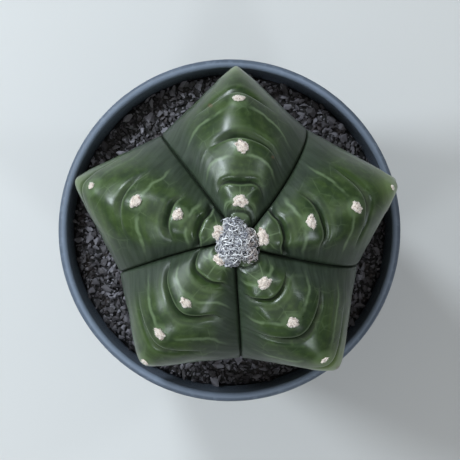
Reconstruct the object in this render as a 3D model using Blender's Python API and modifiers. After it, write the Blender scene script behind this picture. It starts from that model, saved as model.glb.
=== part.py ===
"""A five-ribbed bishop's cap cactus, the smooth green kind with no flecks, in a round pot of dark grit.

Metres, +Z up. The origin is the centre of the pot's foot, on the surface that the pot stands on.
Seen from above, +Y is up the page and the first rib points along it; the ribs are counted anticlockwise.
"""

import math
import random

import bmesh
import bpy
import numpy as np
from mathutils import Matrix, Vector

# The pot, a turned shell with a rounded lip on a low collar
POT_HEIGHT = 0.088
POT_LIP_RADIUS = 0.050
POT_FOOT_RADIUS = 0.0365
POT_WALL = 0.0020
POT_LIP_WIDTH = 0.0026
COLLAR_HEIGHT = 0.0060
COLLAR_STEP = 0.0008
POT_FLOOR = 0.0055
FLOOR_CORNER = 0.0030
FOOT_CHAMFER = 0.0013
FOOT_RING_HEIGHT = 0.0030
FOOT_RING_WIDTH = 0.0045
POT_STEPS = 48
LIP_ARC_POINTS = 6
DRAIN_HOLES = 6
DRAIN_HOLE_RADIUS = 0.0032
DRAIN_HOLE_SIDES = 14
DRAIN_CIRCLE = 0.020
FOOT_NOTCHES = 4
FOOT_NOTCH_WIDTH = 0.010

# The space kept between two pieces that rest on each other, and the finest detail that a cut keeps
SEAT_GAP = 0.0003
ROOT_HOLE_GAP = 0.0004
FINEST_DETAIL = 0.000003

# The grit that fills the pot
GRIT_LEVEL = 0.0795
GRIT_MOUND = 0.0012
GRIT_EDGE = 0.0010
GRIT_STEPS = 40
CHIP_SITES = 172
CHIP_CLEARING = 0.020
CHIP_LENGTH = (0.0056, 0.0086)
CHIP_WIDTH_SHARE = (0.50, 0.85)
CHIP_THICKNESS_SHARE = (0.32, 0.60)
CHIP_CORNERS = (0.62, 1.15)
CHIP_TILT = (0.55, 0.35)
CHIP_LIFT = (-0.0002, 0.0006)
CHIP_UNDER_STEM = 0.0006
CHIP_SEED = 7

# The stem: how far its ribs reach, how tall it is, and where it stands
RIBS = 5
RIB_AZIMUTH = np.radians((90.7, 162.7, 234.2, 306.0, 377.4))
VALLEY_AZIMUTH = np.radians((128.6, 199.3, 271.2, 345.5, 416.9))
RIB_REACH = (0.0458, 0.0476, 0.0452, 0.0475, 0.0466)
WIDEST_RADIUS = sum(RIB_REACH) / RIBS
WIDEST_HEIGHT = 0.1015
SHOULDER_HEIGHT = 0.0265
SHOULDER_POWER = 2.4
BASE_DEPTH = 0.0325
BASE_POWER = 2.0
STEM_CENTRE = (0.0024, 0.0001)
STEM_LEAN = (-0.0004, -0.0032)
CROWN_SWIRL = 0.0016
CROWN_SWIRL_CORE = 0.0030
CROWN_DIMPLE = 0.0022
CROWN_DIMPLE_RADIUS = 0.0050

# The base and root under the grit, where the ribs die out
BURIAL_DEPTH = 0.0080
ROOT_TOP_RADIUS = 0.0115
ROOT_TIP_RADIUS = 0.0030
ROOT_LENGTH = 0.036
ROOT_TIP = 0.0020

# A rib's section: the valley's radius as a share of the crest's, and how round the crest is
YOUNG_VALLEY = 0.90
OLD_VALLEY = 0.735
YOUNG_CREST_ROUND = 0.50
OLD_CREST_ROUND = 0.035
FLANK_SWELL = 0.010
VALLEY_SINK = 0.0052
VALLEY_CREASE_DEPTH = 0.0020
VALLEY_CREASE_WIDTH = 0.0005
VALLEY_CREASE_START = 0.012

# The furrows across each rib, rib by rib: the crest's radius at each one on top, and then the length of
# crest to each one on the flank
FURROW_REACH = (
    (0.0156, 0.0280, 0.0400),
    (0.0104, 0.0192, 0.0326),
    (0.0130, 0.0248, 0.0369),
    (0.0178, 0.0308, 0.0426),
    (0.0125, 0.0232, 0.0363),
)
FURROW_BOW = (0.0, 0.0003, 0.0009, 0.0016, 0.0022, 0.0016, 0.0008, 0.0, 0.0)
CROWN_FURROW_SHARE = 0.42
FLANK_FURROW_STEPS = (
    (0.0300, 0.0150),
    (0.0150, 0.0260),
    (0.0165, 0.0245),
    (0.0280, 0.0130),
    (0.0168, 0.0245),
)
FURROW_DEPTH = (0.0, 0.0005, 0.0011, 0.0014, 0.0013, 0.0011, 0.0009, 0.0, 0.0)
PLATE_LIFT = 0.0007
FURROW_OUTER_SLOPE = 0.0009
FURROW_INNER_SLOPE = 0.0004
YOUNG_FURROW_SPAN = (0.60, 0.98)
OLD_FURROW_SPAN = (0.30, 0.80)
YOUNG_FURROWS = 2

# The felted areoles, each just inside a furrow
AREOLE_SET_BACK = (0.0, 0.0, 0.0047, 0.0029, 0.0029, 0.0029, 0.0029)
AREOLE_RADIUS = 0.0019
AREOLE_BREADTH = 0.0016
AREOLE_HEIGHT = 0.0011
AREOLE_SEAT = 0.0005
AREOLE_ABOVE_GRIT = 0.0040
WORN_AREOLE_SHARE = 0.65
AREOLE_LOCKS = 0.30
AREOLE_SEED = 3

# Where the skin is sampled: phases between two furrows, from the crown down, and shares of a rib
CREST_SAMPLES = 160
CROWN_PHASES = (0.35, 0.70)
PLATE_PHASES = (0.0, 0.05, 0.20, 0.50, 0.80, 0.97)
BASE_PHASES = (0.0, 0.08, 0.35, 0.70)
ROOT_PHASES = (0.0, 0.16, 0.36, 0.50)
SKIN_PHASES = (CROWN_PHASES, *[PLATE_PHASES] * 5, BASE_PHASES, ROOT_PHASES)
BASE_GENERATION = 6
RIB_SHARES = (-1.0, -0.93, -0.68, -0.40, -0.16, 0.0, 0.16, 0.40, 0.68, 0.93)

# The woolly crown: lobes as (east, north, radius) from its centre
CROWN_WOOL_CENTRE = (0.0020, -0.0031)
CROWN_WOOL_LIFT = 0.0010
CROWN_WOOL_LOBES = (
    (-0.0008, 0.0032, 0.0030),
    (0.0019, 0.0004, 0.0031),
    (-0.0018, -0.0026, 0.0032),
    (0.0032, -0.0030, 0.0020),
    (-0.0026, 0.0006, 0.0021),
)
CROWN_WOOL_ROUGHNESS = (0.90, 1.06)
CROWN_WOOL_REACH = 0.0062
CURLS_ON_LOBES = (6, 6, 6, 3, 3)
CURL_RADIUS = 0.00033
CURL_POINTS = 5
CURL_TILT = (0.05, 1.25)
CURL_TURNS = (0.55, 0.80)
CURL_SIZE_SHARE = (0.22, 0.40)
CURL_SEED = 11


def clear_scene():
    for obj in list(bpy.data.objects):
        bpy.data.objects.remove(obj)


def new_collection(name):
    made = bpy.data.collections.new(name)
    bpy.context.scene.collection.children.link(made)
    return made


def principled(name, colour, roughness):
    material = bpy.data.materials.new(name)
    material.use_nodes = True
    shader = material.node_tree.nodes["Principled BSDF"]
    shader.inputs["Base Color"].default_value = (*colour, 1.0)
    shader.inputs["Roughness"].default_value = roughness
    material.diffuse_color = (*colour, 1.0)
    return material


def mesh_object(name, mesh, collection, material=None):
    obj = bpy.data.objects.new(name, mesh)
    collection.objects.link(obj)
    if material:
        mesh.materials.append(material)
    return obj


def smooth_step(value):
    value = np.clip(value, 0.0, 1.0)
    return value * value * (3 - 2 * value)


def evaluated_mesh(obj):
    graph = bpy.context.evaluated_depsgraph_get()
    return bpy.data.meshes.new_from_object(obj.evaluated_get(graph))


def apply_modifiers(obj):
    mesh = evaluated_mesh(obj)
    obj.modifiers.clear()
    obj.data = mesh


def boolean(obj, operation, other, solver="EXACT"):
    """Joins obj with, or cuts it by, another object or a whole collection, and applies the result."""
    modifier = obj.modifiers.new(operation.title(), "BOOLEAN")
    modifier.operation = operation
    modifier.solver = solver
    if isinstance(other, bpy.types.Collection):
        modifier.operand_type = "COLLECTION"
        modifier.collection = other
    else:
        modifier.object = other
    apply_modifiers(obj)


def remove_with_objects(collection):
    for obj in list(collection.objects):
        bpy.data.objects.remove(obj)
    bpy.data.collections.remove(collection)


def keep_largest_body(obj):
    """Drops the scraps that a cut can leave, loose or hanging on to the main body by a point or an edge."""
    shape = bmesh.new()
    shape.from_mesh(obj.data)
    bmesh.ops.triangulate(shape, faces=shape.faces)
    bmesh.ops.remove_doubles(shape, verts=shape.verts, dist=FINEST_DETAIL)
    unseen = set(shape.faces)
    bodies = []
    while unseen:
        front = [unseen.pop()]
        body = list(front)
        while front:
            face = front.pop()
            for edge in face.edges:
                if len(edge.link_faces) != 2:
                    continue
                for other in edge.link_faces:
                    if other in unseen:
                        unseen.remove(other)
                        body.append(other)
                        front.append(other)
        bodies.append(body)
    bodies.sort(key=len)
    scraps = [face for body in bodies[:-1] for face in body]
    bmesh.ops.delete(shape, geom=scraps, context="FACES")
    shape.to_mesh(obj.data)
    shape.free()


def move_to(obj, collection):
    for old in list(obj.users_collection):
        old.objects.unlink(obj)
    collection.objects.link(obj)


def turned(name, profile, steps, collection, material=None):
    """A profile of (radius, height) points turned round the Z axis."""
    mesh = bpy.data.meshes.new(name)
    points = [(radius, 0.0, height) for radius, height in profile]
    mesh.from_pydata(points, [(i, i + 1) for i in range(len(points) - 1)], [])
    obj = mesh_object(name, mesh, collection, material)
    screw = obj.modifiers.new("Turn", "SCREW")
    screw.steps = steps
    screw.render_steps = steps
    screw.use_merge_vertices = True
    screw.merge_threshold = 0.00005
    return obj


def shade_smooth(obj, angle=math.radians(35)):
    obj.data.shade_smooth()
    obj.data.set_sharp_from_angle(angle=angle)


def pot_outer_radius(height):
    """The tapered wall's outside, up to the collar under the lip."""
    share = height / (POT_HEIGHT - COLLAR_HEIGHT)
    top = POT_LIP_RADIUS - COLLAR_STEP
    return POT_FOOT_RADIUS + (top - POT_FOOT_RADIUS) * min(share, 1.0)


def pot_inner_radius(height):
    return pot_outer_radius(height) - POT_WALL


def pot_profile():
    """From the middle of the floor inside, up the wall, over the lip, down the outside and under the foot."""
    lip_round = POT_LIP_WIDTH / 2
    lip_radius, lip_height = POT_LIP_RADIUS - lip_round, POT_HEIGHT - lip_round
    collar = POT_HEIGHT - COLLAR_HEIGHT
    corner = POT_FLOOR + FLOOR_CORNER
    ring_inside = POT_FOOT_RADIUS - FOOT_RING_WIDTH
    inside = [
        (0.0, POT_FLOOR),
        (pot_inner_radius(POT_FLOOR) - FLOOR_CORNER, POT_FLOOR),
        (pot_inner_radius(corner), corner),
        (pot_inner_radius(collar), collar),
    ]
    lip = []
    for turn in np.linspace(0, math.pi, LIP_ARC_POINTS):
        lip.append((lip_radius - lip_round * math.cos(turn), lip_height + lip_round * math.sin(turn)))
    outside = [
        (POT_LIP_RADIUS, collar + COLLAR_STEP),
        (pot_outer_radius(collar), collar),
        (pot_outer_radius(FOOT_CHAMFER), FOOT_CHAMFER),
        (POT_FOOT_RADIUS - FOOT_CHAMFER, 0.0),
        (ring_inside, 0.0),
        (ring_inside - COLLAR_STEP, FOOT_RING_HEIGHT),
        (0.0, FOOT_RING_HEIGHT),
    ]
    return inside + lip + outside


def add_drain_cutters(collection):
    """One hole in the middle of the floor and a ring of them round it."""
    places = [(0.0, 0.0)]
    for index in range(DRAIN_HOLES):
        turn = 2 * math.pi * index / DRAIN_HOLES
        places.append((DRAIN_CIRCLE * math.cos(turn), DRAIN_CIRCLE * math.sin(turn)))
    for x, y in places:
        bpy.ops.mesh.primitive_cylinder_add(
            vertices=DRAIN_HOLE_SIDES,
            radius=DRAIN_HOLE_RADIUS,
            depth=4 * (POT_FLOOR - FOOT_RING_HEIGHT),
            location=(x, y, POT_FLOOR),
        )
        move_to(bpy.context.object, collection)


def add_notch_cutters(collection):
    """Gaps in the foot ring that let the water run out from under the pot."""
    reach = POT_FOOT_RADIUS - FOOT_RING_WIDTH / 2
    for index in range(FOOT_NOTCHES):
        turn = 2 * math.pi * (index + 0.5) / FOOT_NOTCHES
        bpy.ops.mesh.primitive_cube_add(
            size=1,
            location=(reach * math.cos(turn), reach * math.sin(turn), 0.0),
            rotation=(0, 0, turn),
            scale=(FOOT_RING_WIDTH * 2.4, FOOT_NOTCH_WIDTH, FOOT_RING_HEIGHT * 1.3),
        )
        move_to(bpy.context.object, collection)


def make_pot(collection, cutters):
    material = principled("pot_blue_grey", (0.125, 0.160, 0.215), 0.42)
    pot = turned("pot", pot_profile(), POT_STEPS, collection, material)
    apply_modifiers(pot)
    add_drain_cutters(cutters)
    add_notch_cutters(cutters)
    boolean(pot, "DIFFERENCE", cutters)
    shade_smooth(pot)


def crest_line():
    """The crest of a rib from the crown's centre to the root's tip: distance along it, radius and height."""
    turn = np.linspace(0, math.pi / 2, CREST_SAMPLES)
    upper_radius = WIDEST_RADIUS * np.sin(turn) ** (2 / SHOULDER_POWER)
    upper_height = WIDEST_HEIGHT + SHOULDER_HEIGHT * np.cos(turn) ** (2 / SHOULDER_POWER)
    dimple = CROWN_DIMPLE * np.exp(-((upper_radius / CROWN_DIMPLE_RADIUS) ** 2))
    lower_radius = WIDEST_RADIUS * np.cos(turn[1:]) ** (2 / BASE_POWER)
    lower_height = WIDEST_HEIGHT - BASE_DEPTH * np.sin(turn[1:]) ** (2 / BASE_POWER)
    kept = lower_radius > ROOT_TOP_RADIUS
    root_top = WIDEST_HEIGHT - BASE_DEPTH
    root_radius = [ROOT_TOP_RADIUS, ROOT_TIP_RADIUS, 0.0]
    root_height = [root_top, root_top - ROOT_LENGTH, root_top - ROOT_LENGTH - ROOT_TIP]
    radius = np.concatenate([upper_radius, lower_radius[kept], root_radius])
    height = np.concatenate([upper_height - dimple, lower_height[kept], root_height])
    steps = np.hypot(np.diff(radius), np.diff(height))
    along = np.concatenate([[0.0], np.cumsum(steps)])
    return along, radius, height


ALONG, CREST_RADIUS, CREST_HEIGHT = crest_line()
CREST_END = float(ALONG[-1])
WIDEST = CREST_SAMPLES - 1
WIDEST_ALONG = float(ALONG[WIDEST])
GRIT_ALONG = float(np.interp(-GRIT_LEVEL, -CREST_HEIGHT[WIDEST:], ALONG[WIDEST:]))


def furrows_of(rib):
    """Distances along the crest of every furrow of a rib, from the crown's centre to the root's tip."""
    upper = np.interp(FURROW_REACH[rib], CREST_RADIUS[:CREST_SAMPLES], ALONG[:CREST_SAMPLES])
    lower = upper[-1] + np.cumsum(FLANK_FURROW_STEPS[rib])
    young = upper[0] * CROWN_FURROW_SHARE
    return [0.0, young, *upper, *lower, GRIT_ALONG + BURIAL_DEPTH, CREST_END]


FURROWS = np.array([furrows_of(rib) for rib in range(RIBS)])


def half_rib_angle(rib, share):
    """The angle from a rib's crest to the valley on the side that share points to."""
    after = VALLEY_AZIMUTH[rib] - RIB_AZIMUTH[rib]
    before = RIB_AZIMUTH[rib] - np.roll(VALLEY_AZIMUTH, 1)[rib]
    return np.where(share > 0, after, before % (2 * math.pi))


def above_burial(height):
    """1 on the skin above the grit, falling to 0 below it."""
    return 1 - smooth_step((GRIT_LEVEL - height) / BURIAL_DEPTH)


def section_reach(age, rib, share, standing):
    """The star section's radius as a share of the crest line's: nearly straight flanks from crest to valley."""
    valley = YOUNG_VALLEY + (OLD_VALLEY - YOUNG_VALLEY) * age**1.3
    valley = 1 + (valley - 1) * standing
    crest_round = YOUNG_CREST_ROUND + (OLD_CREST_ROUND - YOUNG_CREST_ROUND) * age
    half = half_rib_angle(rib, share)
    bend = np.sqrt(share**2 + crest_round**2) - crest_round
    bend = half * bend / (np.sqrt(1 + crest_round**2) - crest_round)
    slope = (1 / valley - np.cos(half)) / np.sin(half)
    reach = 1 / (np.cos(bend) + slope * np.sin(bend))
    swell = FLANK_SWELL * np.sin(math.pi * np.abs(share))
    own = (np.array(RIB_REACH)[rib] / WIDEST_RADIUS - 1) * (1 - smooth_step(np.abs(share)))
    return reach * (1 + (swell + own) * age * standing)


def skin_point(along, rib, share):
    """A point of the smooth skin. share runs from -1 to 1 across a rib, from valley to valley."""
    crest_radius = np.interp(along, ALONG, CREST_RADIUS)
    height = np.interp(along, ALONG, CREST_HEIGHT)
    age = np.clip(along / WIDEST_ALONG, 0, 1)
    standing = above_burial(height)
    radius = crest_radius * section_reach(age, rib, share, standing)
    azimuth = RIB_AZIMUTH[rib] + share * half_rib_angle(rib, share)
    azimuth = azimuth - CROWN_SWIRL * (1 - age) / (crest_radius + CROWN_SWIRL_CORE)
    sink = VALLEY_SINK * np.sin(math.pi * age) * np.abs(share) ** 2.5 * standing
    rise = (height - WIDEST_HEIGHT) / SHOULDER_HEIGHT
    x = STEM_CENTRE[0] + STEM_LEAN[0] * rise + radius * np.cos(azimuth)
    y = STEM_CENTRE[1] + STEM_LEAN[1] * rise + radius * np.sin(azimuth)
    return np.stack([x, y, height - sink], axis=-1)


def crest_point(along, rib=0):
    return skin_point(np.array(along), np.array(rib), np.array(0.0))


def skin_normal(along, rib, share):
    """The outward direction of the smooth skin, straight up where it comes to a point."""
    step_along, step_share, least = 0.0002, 0.01, 1e-12
    down = skin_point(along + step_along, rib, share) - skin_point(along, rib, share)
    low, high = np.maximum(share - step_share, -1), np.minimum(share + step_share, 1)
    across = skin_point(along, rib, high) - skin_point(along, rib, low)
    normal = np.cross(down, across)
    length = np.linalg.norm(normal, axis=-1, keepdims=True)
    return np.where(length > least, normal / np.maximum(length, least), (0.0, 0.0, 1.0))


def between_furrows(values, generation, phase):
    return values[..., generation] * (1 - phase) + values[..., generation + 1] * phase


def row_along(generation, phase, rib, share):
    """How far down the crest a row of skin lies. It bows out over a rib and meets its neighbours in the valleys."""
    beside = (rib + np.where(share > 0, 1, -1)) % RIBS
    here = between_furrows(FURROWS[rib], generation, phase)
    there = between_furrows(FURROWS[beside], generation, phase)
    pull = smooth_step((np.abs(share) - 0.5) / 0.5) / 2
    bow = between_furrows(np.array(FURROW_BOW), generation, phase)
    return here * (1 - pull) + there * pull + bow * np.sin(math.pi * np.abs(share)) ** 2


def plate_relief(generation, phase, rib, share):
    """A plate rises down the rib to its areole, and then drops over a lip into the next furrow."""
    span = FURROWS[rib, generation + 1] - FURROWS[rib, generation]
    past, ahead = span * phase, span * (1 - phase)
    start, end = YOUNG_FURROW_SPAN if generation <= YOUNG_FURROWS else OLD_FURROW_SPAN
    across = 1 - smooth_step((np.abs(share) - start) / (end - start))
    depth, next_depth = FURROW_DEPTH[generation : generation + 2]
    lift = PLATE_LIFT if depth else 0.0
    next_lip = next_depth + lift if next_depth else 0.0
    plate = lift * phase
    plate = plate - depth * np.exp(-past / FURROW_OUTER_SLOPE)
    plate = plate - next_lip * np.exp(-ahead / FURROW_INNER_SLOPE)
    if generation == BASE_GENERATION:
        plate = plate * (1 - phase)
    return plate * across


def valley_crease(rib, share, along):
    """The narrow dark groove where two ribs meet."""
    radius = np.interp(along, ALONG, CREST_RADIUS) * OLD_VALLEY
    distance = (1 - np.abs(share)) * half_rib_angle(rib, share) * radius
    depth = VALLEY_CREASE_DEPTH * smooth_step(along / VALLEY_CREASE_START)
    return depth * np.exp(-distance / VALLEY_CREASE_WIDTH)


def stem_mesh(name, grow=0.0):
    """The whole stem and root as one closed skin, or with grow a slightly larger copy to cut with."""
    ribs = np.repeat(np.arange(RIBS), len(RIB_SHARES))
    shares = np.tile(np.array(RIB_SHARES), RIBS)
    shape = bmesh.new()
    rings = []
    for generation, phases in enumerate(SKIN_PHASES):
        for phase in phases:
            along = row_along(generation, phase, ribs, shares)
            out = plate_relief(generation, phase, ribs, shares) - valley_crease(ribs, shares, along)
            out = out * above_burial(np.interp(along, ALONG, CREST_HEIGHT)) + grow
            points = skin_point(along, ribs, shares)
            points = points + skin_normal(along, ribs, shares) * out[:, None]
            rings.append([shape.verts.new(point) for point in points])
    top = shape.verts.new(crest_point(0.0) + (0, 0, grow))
    tip = shape.verts.new(crest_point(CREST_END) - (0, 0, grow))
    for i, j in zip(range(len(ribs)), [*range(1, len(ribs)), 0]):
        shape.faces.new((top, rings[0][i], rings[0][j]))
        shape.faces.new((tip, rings[-1][j], rings[-1][i]))
        for upper, lower in zip(rings, rings[1:]):
            shape.faces.new((upper[i], lower[i], lower[j], upper[j]))
    mesh = bpy.data.meshes.new(name)
    shape.to_mesh(mesh)
    shape.free()
    return mesh


def areole_places():
    """Centre, outward direction and size of each areole clear of the wool and the grit. Old ones are worn."""
    places = []
    for rib in range(RIBS):
        for generation, set_back in enumerate(AREOLE_SET_BACK):
            along = FURROWS[rib, generation] - set_back
            point = crest_point(along, rib)
            wool_distance = math.dist(point[:2], CROWN_WOOL_CENTRE)
            clear = wool_distance > CROWN_WOOL_REACH and point[2] > GRIT_LEVEL + AREOLE_ABOVE_GRIT
            if set_back and clear:
                normal = skin_normal(np.array(along), np.array(rib), np.array(0.0))
                size = WORN_AREOLE_SHARE if point[2] < WIDEST_HEIGHT else 1.0
                places.append((Vector(point + normal * AREOLE_SEAT), Vector(normal), size))
    return places


def add_felt_tuft(collection, place, normal, share, rng, material):
    """One areole: a low cushion of felt whose locks stand out of it unevenly."""
    bpy.ops.mesh.primitive_ico_sphere_add(subdivisions=2, radius=1.0)
    tuft = bpy.context.object
    for vert in tuft.data.vertices:
        vert.co *= 1 + AREOLE_LOCKS * rng.uniform(-1, 1)
    size = Matrix.Diagonal((AREOLE_RADIUS, AREOLE_BREADTH, AREOLE_HEIGHT, 1))
    spin = Matrix.Rotation(rng.uniform(0, 2 * math.pi), 4, "Z") @ Matrix.Scale(share, 4)
    stand = normal.to_track_quat("Z", "Y").to_matrix().to_4x4()
    tuft.data.transform(Matrix.Translation(place) @ stand @ spin @ size)
    tuft.data.materials.append(material)
    move_to(tuft, collection)


def make_stem(collection):
    skin = principled("stem_green", (0.055, 0.120, 0.040), 0.38)
    felt = principled("areole_felt", (0.80, 0.74, 0.66), 0.95)
    stem = mesh_object("cactus_stem", stem_mesh("cactus_stem"), collection, skin)
    stem.data.materials.append(felt)
    tufts = new_collection("areole_tufts")
    rng = random.Random(AREOLE_SEED)
    for place, normal, share in areole_places():
        add_felt_tuft(tufts, place, normal, share, rng, felt)
    boolean(stem, "UNION", tufts)
    remove_with_objects(tufts)
    keep_largest_body(stem)
    shade_smooth(stem)


def grit_profile():
    """The column of grit in the pot, from the middle of its mounded top down its outer side."""
    bottom, top = POT_FLOOR + SEAT_GAP, GRIT_LEVEL
    shoulder, corner = top - GRIT_EDGE, POT_FLOOR + FLOOR_CORNER + SEAT_GAP
    return [
        (0.0, top + GRIT_MOUND),
        (pot_inner_radius(top) - SEAT_GAP - GRIT_EDGE, top),
        (pot_inner_radius(shoulder) - SEAT_GAP, shoulder),
        (pot_inner_radius(corner) - SEAT_GAP, corner),
        (pot_inner_radius(bottom) - SEAT_GAP - FLOOR_CORNER, bottom),
        (0.0, bottom),
    ]


def grit_room_profile():
    """The space inside the pot's wall that the chips may fill, reaching well above and below them."""
    low, high = POT_FLOOR, POT_HEIGHT
    edge = [(pot_inner_radius(height) - SEAT_GAP, height) for height in (high, low)]
    return [(0.0, high), *edge, (0.0, low)]


def add_chip(collection, place, length, rng):
    """One angular chip of stone: a box with its corners pushed about, lying unevenly."""
    bpy.ops.mesh.primitive_cube_add(size=1)
    chip = bpy.context.object
    for vert in chip.data.vertices:
        vert.co *= rng.uniform(*CHIP_CORNERS)
    width, thickness = rng.uniform(*CHIP_WIDTH_SHARE), rng.uniform(*CHIP_THICKNESS_SHARE)
    size = Matrix.Diagonal((length, length * width, length * thickness, 1))
    turn = Matrix.Rotation(rng.uniform(0, 2 * math.pi), 4, "Z")
    roll, pitch = rng.gauss(0, CHIP_TILT[0]), rng.gauss(0, CHIP_TILT[1])
    tilt = Matrix.Rotation(roll, 4, "X") @ Matrix.Rotation(pitch, 4, "Y")
    chip.data.transform(Matrix.Translation(place) @ turn @ tilt @ size)
    move_to(chip, collection)


def stem_footprint():
    """Directions and distances, from the stem's centre, of its outline at the level of the grit."""
    across = np.linspace(-1, 1, 41)
    outline = [skin_point(GRIT_ALONG, np.array(rib), across) for rib in range(RIBS)]
    outline = np.concatenate(outline)[:, :2] - STEM_CENTRE
    turns = np.arctan2(outline[:, 1], outline[:, 0])
    order = np.argsort(turns)
    return turns[order], np.hypot(outline[:, 0], outline[:, 1])[order]


def chip_places(rng):
    """Evenly scattered places on the grit, from the pot's wall inwards to just under the stem."""
    turns, reaches = stem_footprint()
    inner, outer = CHIP_CLEARING, pot_inner_radius(GRIT_LEVEL) - SEAT_GAP
    golden = math.pi * (3 - math.sqrt(5))
    for index in range(CHIP_SITES):
        length, lift = rng.uniform(*CHIP_LENGTH), rng.uniform(*CHIP_LIFT)
        radius = math.sqrt(inner**2 + (outer**2 - inner**2) * (index + 0.5) / CHIP_SITES)
        x, y = radius * math.cos(index * golden), radius * math.sin(index * golden)
        height = GRIT_LEVEL + GRIT_MOUND * (1 - radius / outer) + lift
        east, north = x - STEM_CENTRE[0], y - STEM_CENTRE[1]
        reach = np.interp(math.atan2(north, east), turns, reaches, period=2 * math.pi)
        if math.hypot(east, north) > reach - CHIP_UNDER_STEM:
            yield Vector((x, y, height)), length


def make_grit(collection, cutters):
    material = principled("dark_grit", (0.020, 0.018, 0.019), 0.85)
    grit = turned("grit_fill", grit_profile(), GRIT_STEPS, collection, material)
    apply_modifiers(grit)
    chips = new_collection("grit_chips")
    rng = random.Random(CHIP_SEED)
    for place, length in chip_places(rng):
        add_chip(chips, place, length, rng)
    boolean(grit, "UNION", chips, "MANIFOLD")
    remove_with_objects(chips)
    room = turned("grit_room", grit_room_profile(), GRIT_STEPS, cutters)
    boolean(grit, "INTERSECT", room, "MANIFOLD")
    root_hole = mesh_object("root_hole", stem_mesh("root_hole", grow=ROOT_HOLE_GAP), cutters)
    boolean(grit, "DIFFERENCE", root_hole, "MANIFOLD")
    keep_largest_body(grit)


def add_wool_lobe(collection, place, radius, rng, material):
    bpy.ops.mesh.primitive_ico_sphere_add(subdivisions=2, radius=radius)
    lobe = bpy.context.object
    for vert in lobe.data.vertices:
        vert.co *= rng.uniform(*CROWN_WOOL_ROUGHNESS)
    lobe.data.transform(Matrix.Translation(place))
    lobe.data.materials.append(material)
    move_to(lobe, collection)


def curl_points(place, radius, rng):
    """A lock of wool that leaves a lobe, bends over and comes back to it."""
    turn, tilt = rng.uniform(0, 2 * math.pi), rng.uniform(*CURL_TILT)
    up = Vector((math.cos(turn) * math.sin(tilt), math.sin(turn) * math.sin(tilt), math.cos(tilt)))
    side = up.orthogonal().normalized()
    side.rotate(Matrix.Rotation(rng.uniform(0, 2 * math.pi), 3, up))
    other = up.cross(side)
    turns, size = rng.uniform(*CURL_TURNS), radius * rng.uniform(*CURL_SIZE_SHARE)
    points = []
    for share in np.linspace(-1, 1, CURL_POINTS):
        angle = math.pi * turns * share
        loop = side * 1.5 * math.sin(angle) + other * math.cos(angle) + up * (0.9 - 1.9 * share**2)
        points.append(place + up * radius * 0.92 + loop * size)
    return points


def add_curl(collection, points, material):
    """A lock of wool as a thin four-sided tube, made a closed mesh."""
    data = bpy.data.curves.new("curl", "CURVE")
    data.dimensions = "3D"
    data.bevel_depth = CURL_RADIUS
    data.bevel_resolution = 0
    data.use_fill_caps = True
    line = data.splines.new("POLY")
    line.points.add(len(points) - 1)
    for point, place in zip(line.points, points):
        point.co = (*place, 1.0)
    guide = bpy.data.objects.new("curl_guide", data)
    collection.objects.link(guide)
    mesh = evaluated_mesh(guide)
    bpy.data.objects.remove(guide)
    shape = bmesh.new()
    shape.from_mesh(mesh)
    bmesh.ops.remove_doubles(shape, verts=shape.verts, dist=FINEST_DETAIL)
    bmesh.ops.recalc_face_normals(shape, faces=shape.faces)
    shape.to_mesh(mesh)
    shape.free()
    mesh_object("curl", mesh, collection, material)


def add_tuft_clearance(collection, place):
    """The space that a tuft beside the woolly crown needs."""
    reach = AREOLE_RADIUS * (1 + AREOLE_LOCKS) + SEAT_GAP
    bpy.ops.mesh.primitive_ico_sphere_add(subdivisions=2, radius=reach, location=place)
    move_to(bpy.context.object, collection)


def make_crown_wool(collection, cutters):
    material = principled("crown_wool", (0.55, 0.57, 0.62), 0.95)
    centre = Vector((*CROWN_WOOL_CENTRE, crest_point(0.0)[2] + CROWN_WOOL_LIFT))
    locks = new_collection("wool_locks")
    rng = random.Random(CURL_SEED)
    for (east, north, radius), curls in zip(CROWN_WOOL_LOBES, CURLS_ON_LOBES):
        place = centre + Vector((east, north, 0.0))
        add_wool_lobe(locks, place, radius, rng, material)
        for _ in range(curls):
            add_curl(locks, curl_points(place, radius, rng), material)
    wool = locks.objects[0]
    wool.name = "crown_wool"
    move_to(wool, collection)
    boolean(wool, "UNION", locks)
    remove_with_objects(locks)
    mesh_object("crown_seat", stem_mesh("crown_seat", grow=SEAT_GAP), cutters)
    for place, _, _ in areole_places():
        if (place - centre).length < CROWN_WOOL_REACH + 2 * AREOLE_RADIUS:
            add_tuft_clearance(cutters, place)
    boolean(wool, "DIFFERENCE", cutters)
    keep_largest_body(wool)


def main():
    clear_scene()
    plant = new_collection("potted_bishops_cap_cactus")
    pot_cutters = new_collection("pot_cutters")
    grit_cutters = new_collection("grit_cutters")
    wool_cutters = new_collection("wool_cutters")
    make_pot(plant, pot_cutters)
    make_stem(plant)
    make_grit(plant, grit_cutters)
    make_crown_wool(plant, wool_cutters)
    for collection in (pot_cutters, grit_cutters, wool_cutters):
        collection.hide_render = True
        for cutter in collection.objects:
            cutter.hide_render = True
            cutter.display_type = "WIRE"


main()
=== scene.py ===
# %% [markdown]
# # A potted bishop's cap cactus
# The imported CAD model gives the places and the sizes, in metres with +Z up. This lesson dresses it:
# every surface that shows gets finer geometry and a finish made of shader nodes. The stem is one
# formula, sampled finely. What repeats, such as stone chips and hairs, comes from one scattering tree
# of Geometry Nodes. The last cells set the floor, the lights and the camera.

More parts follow.
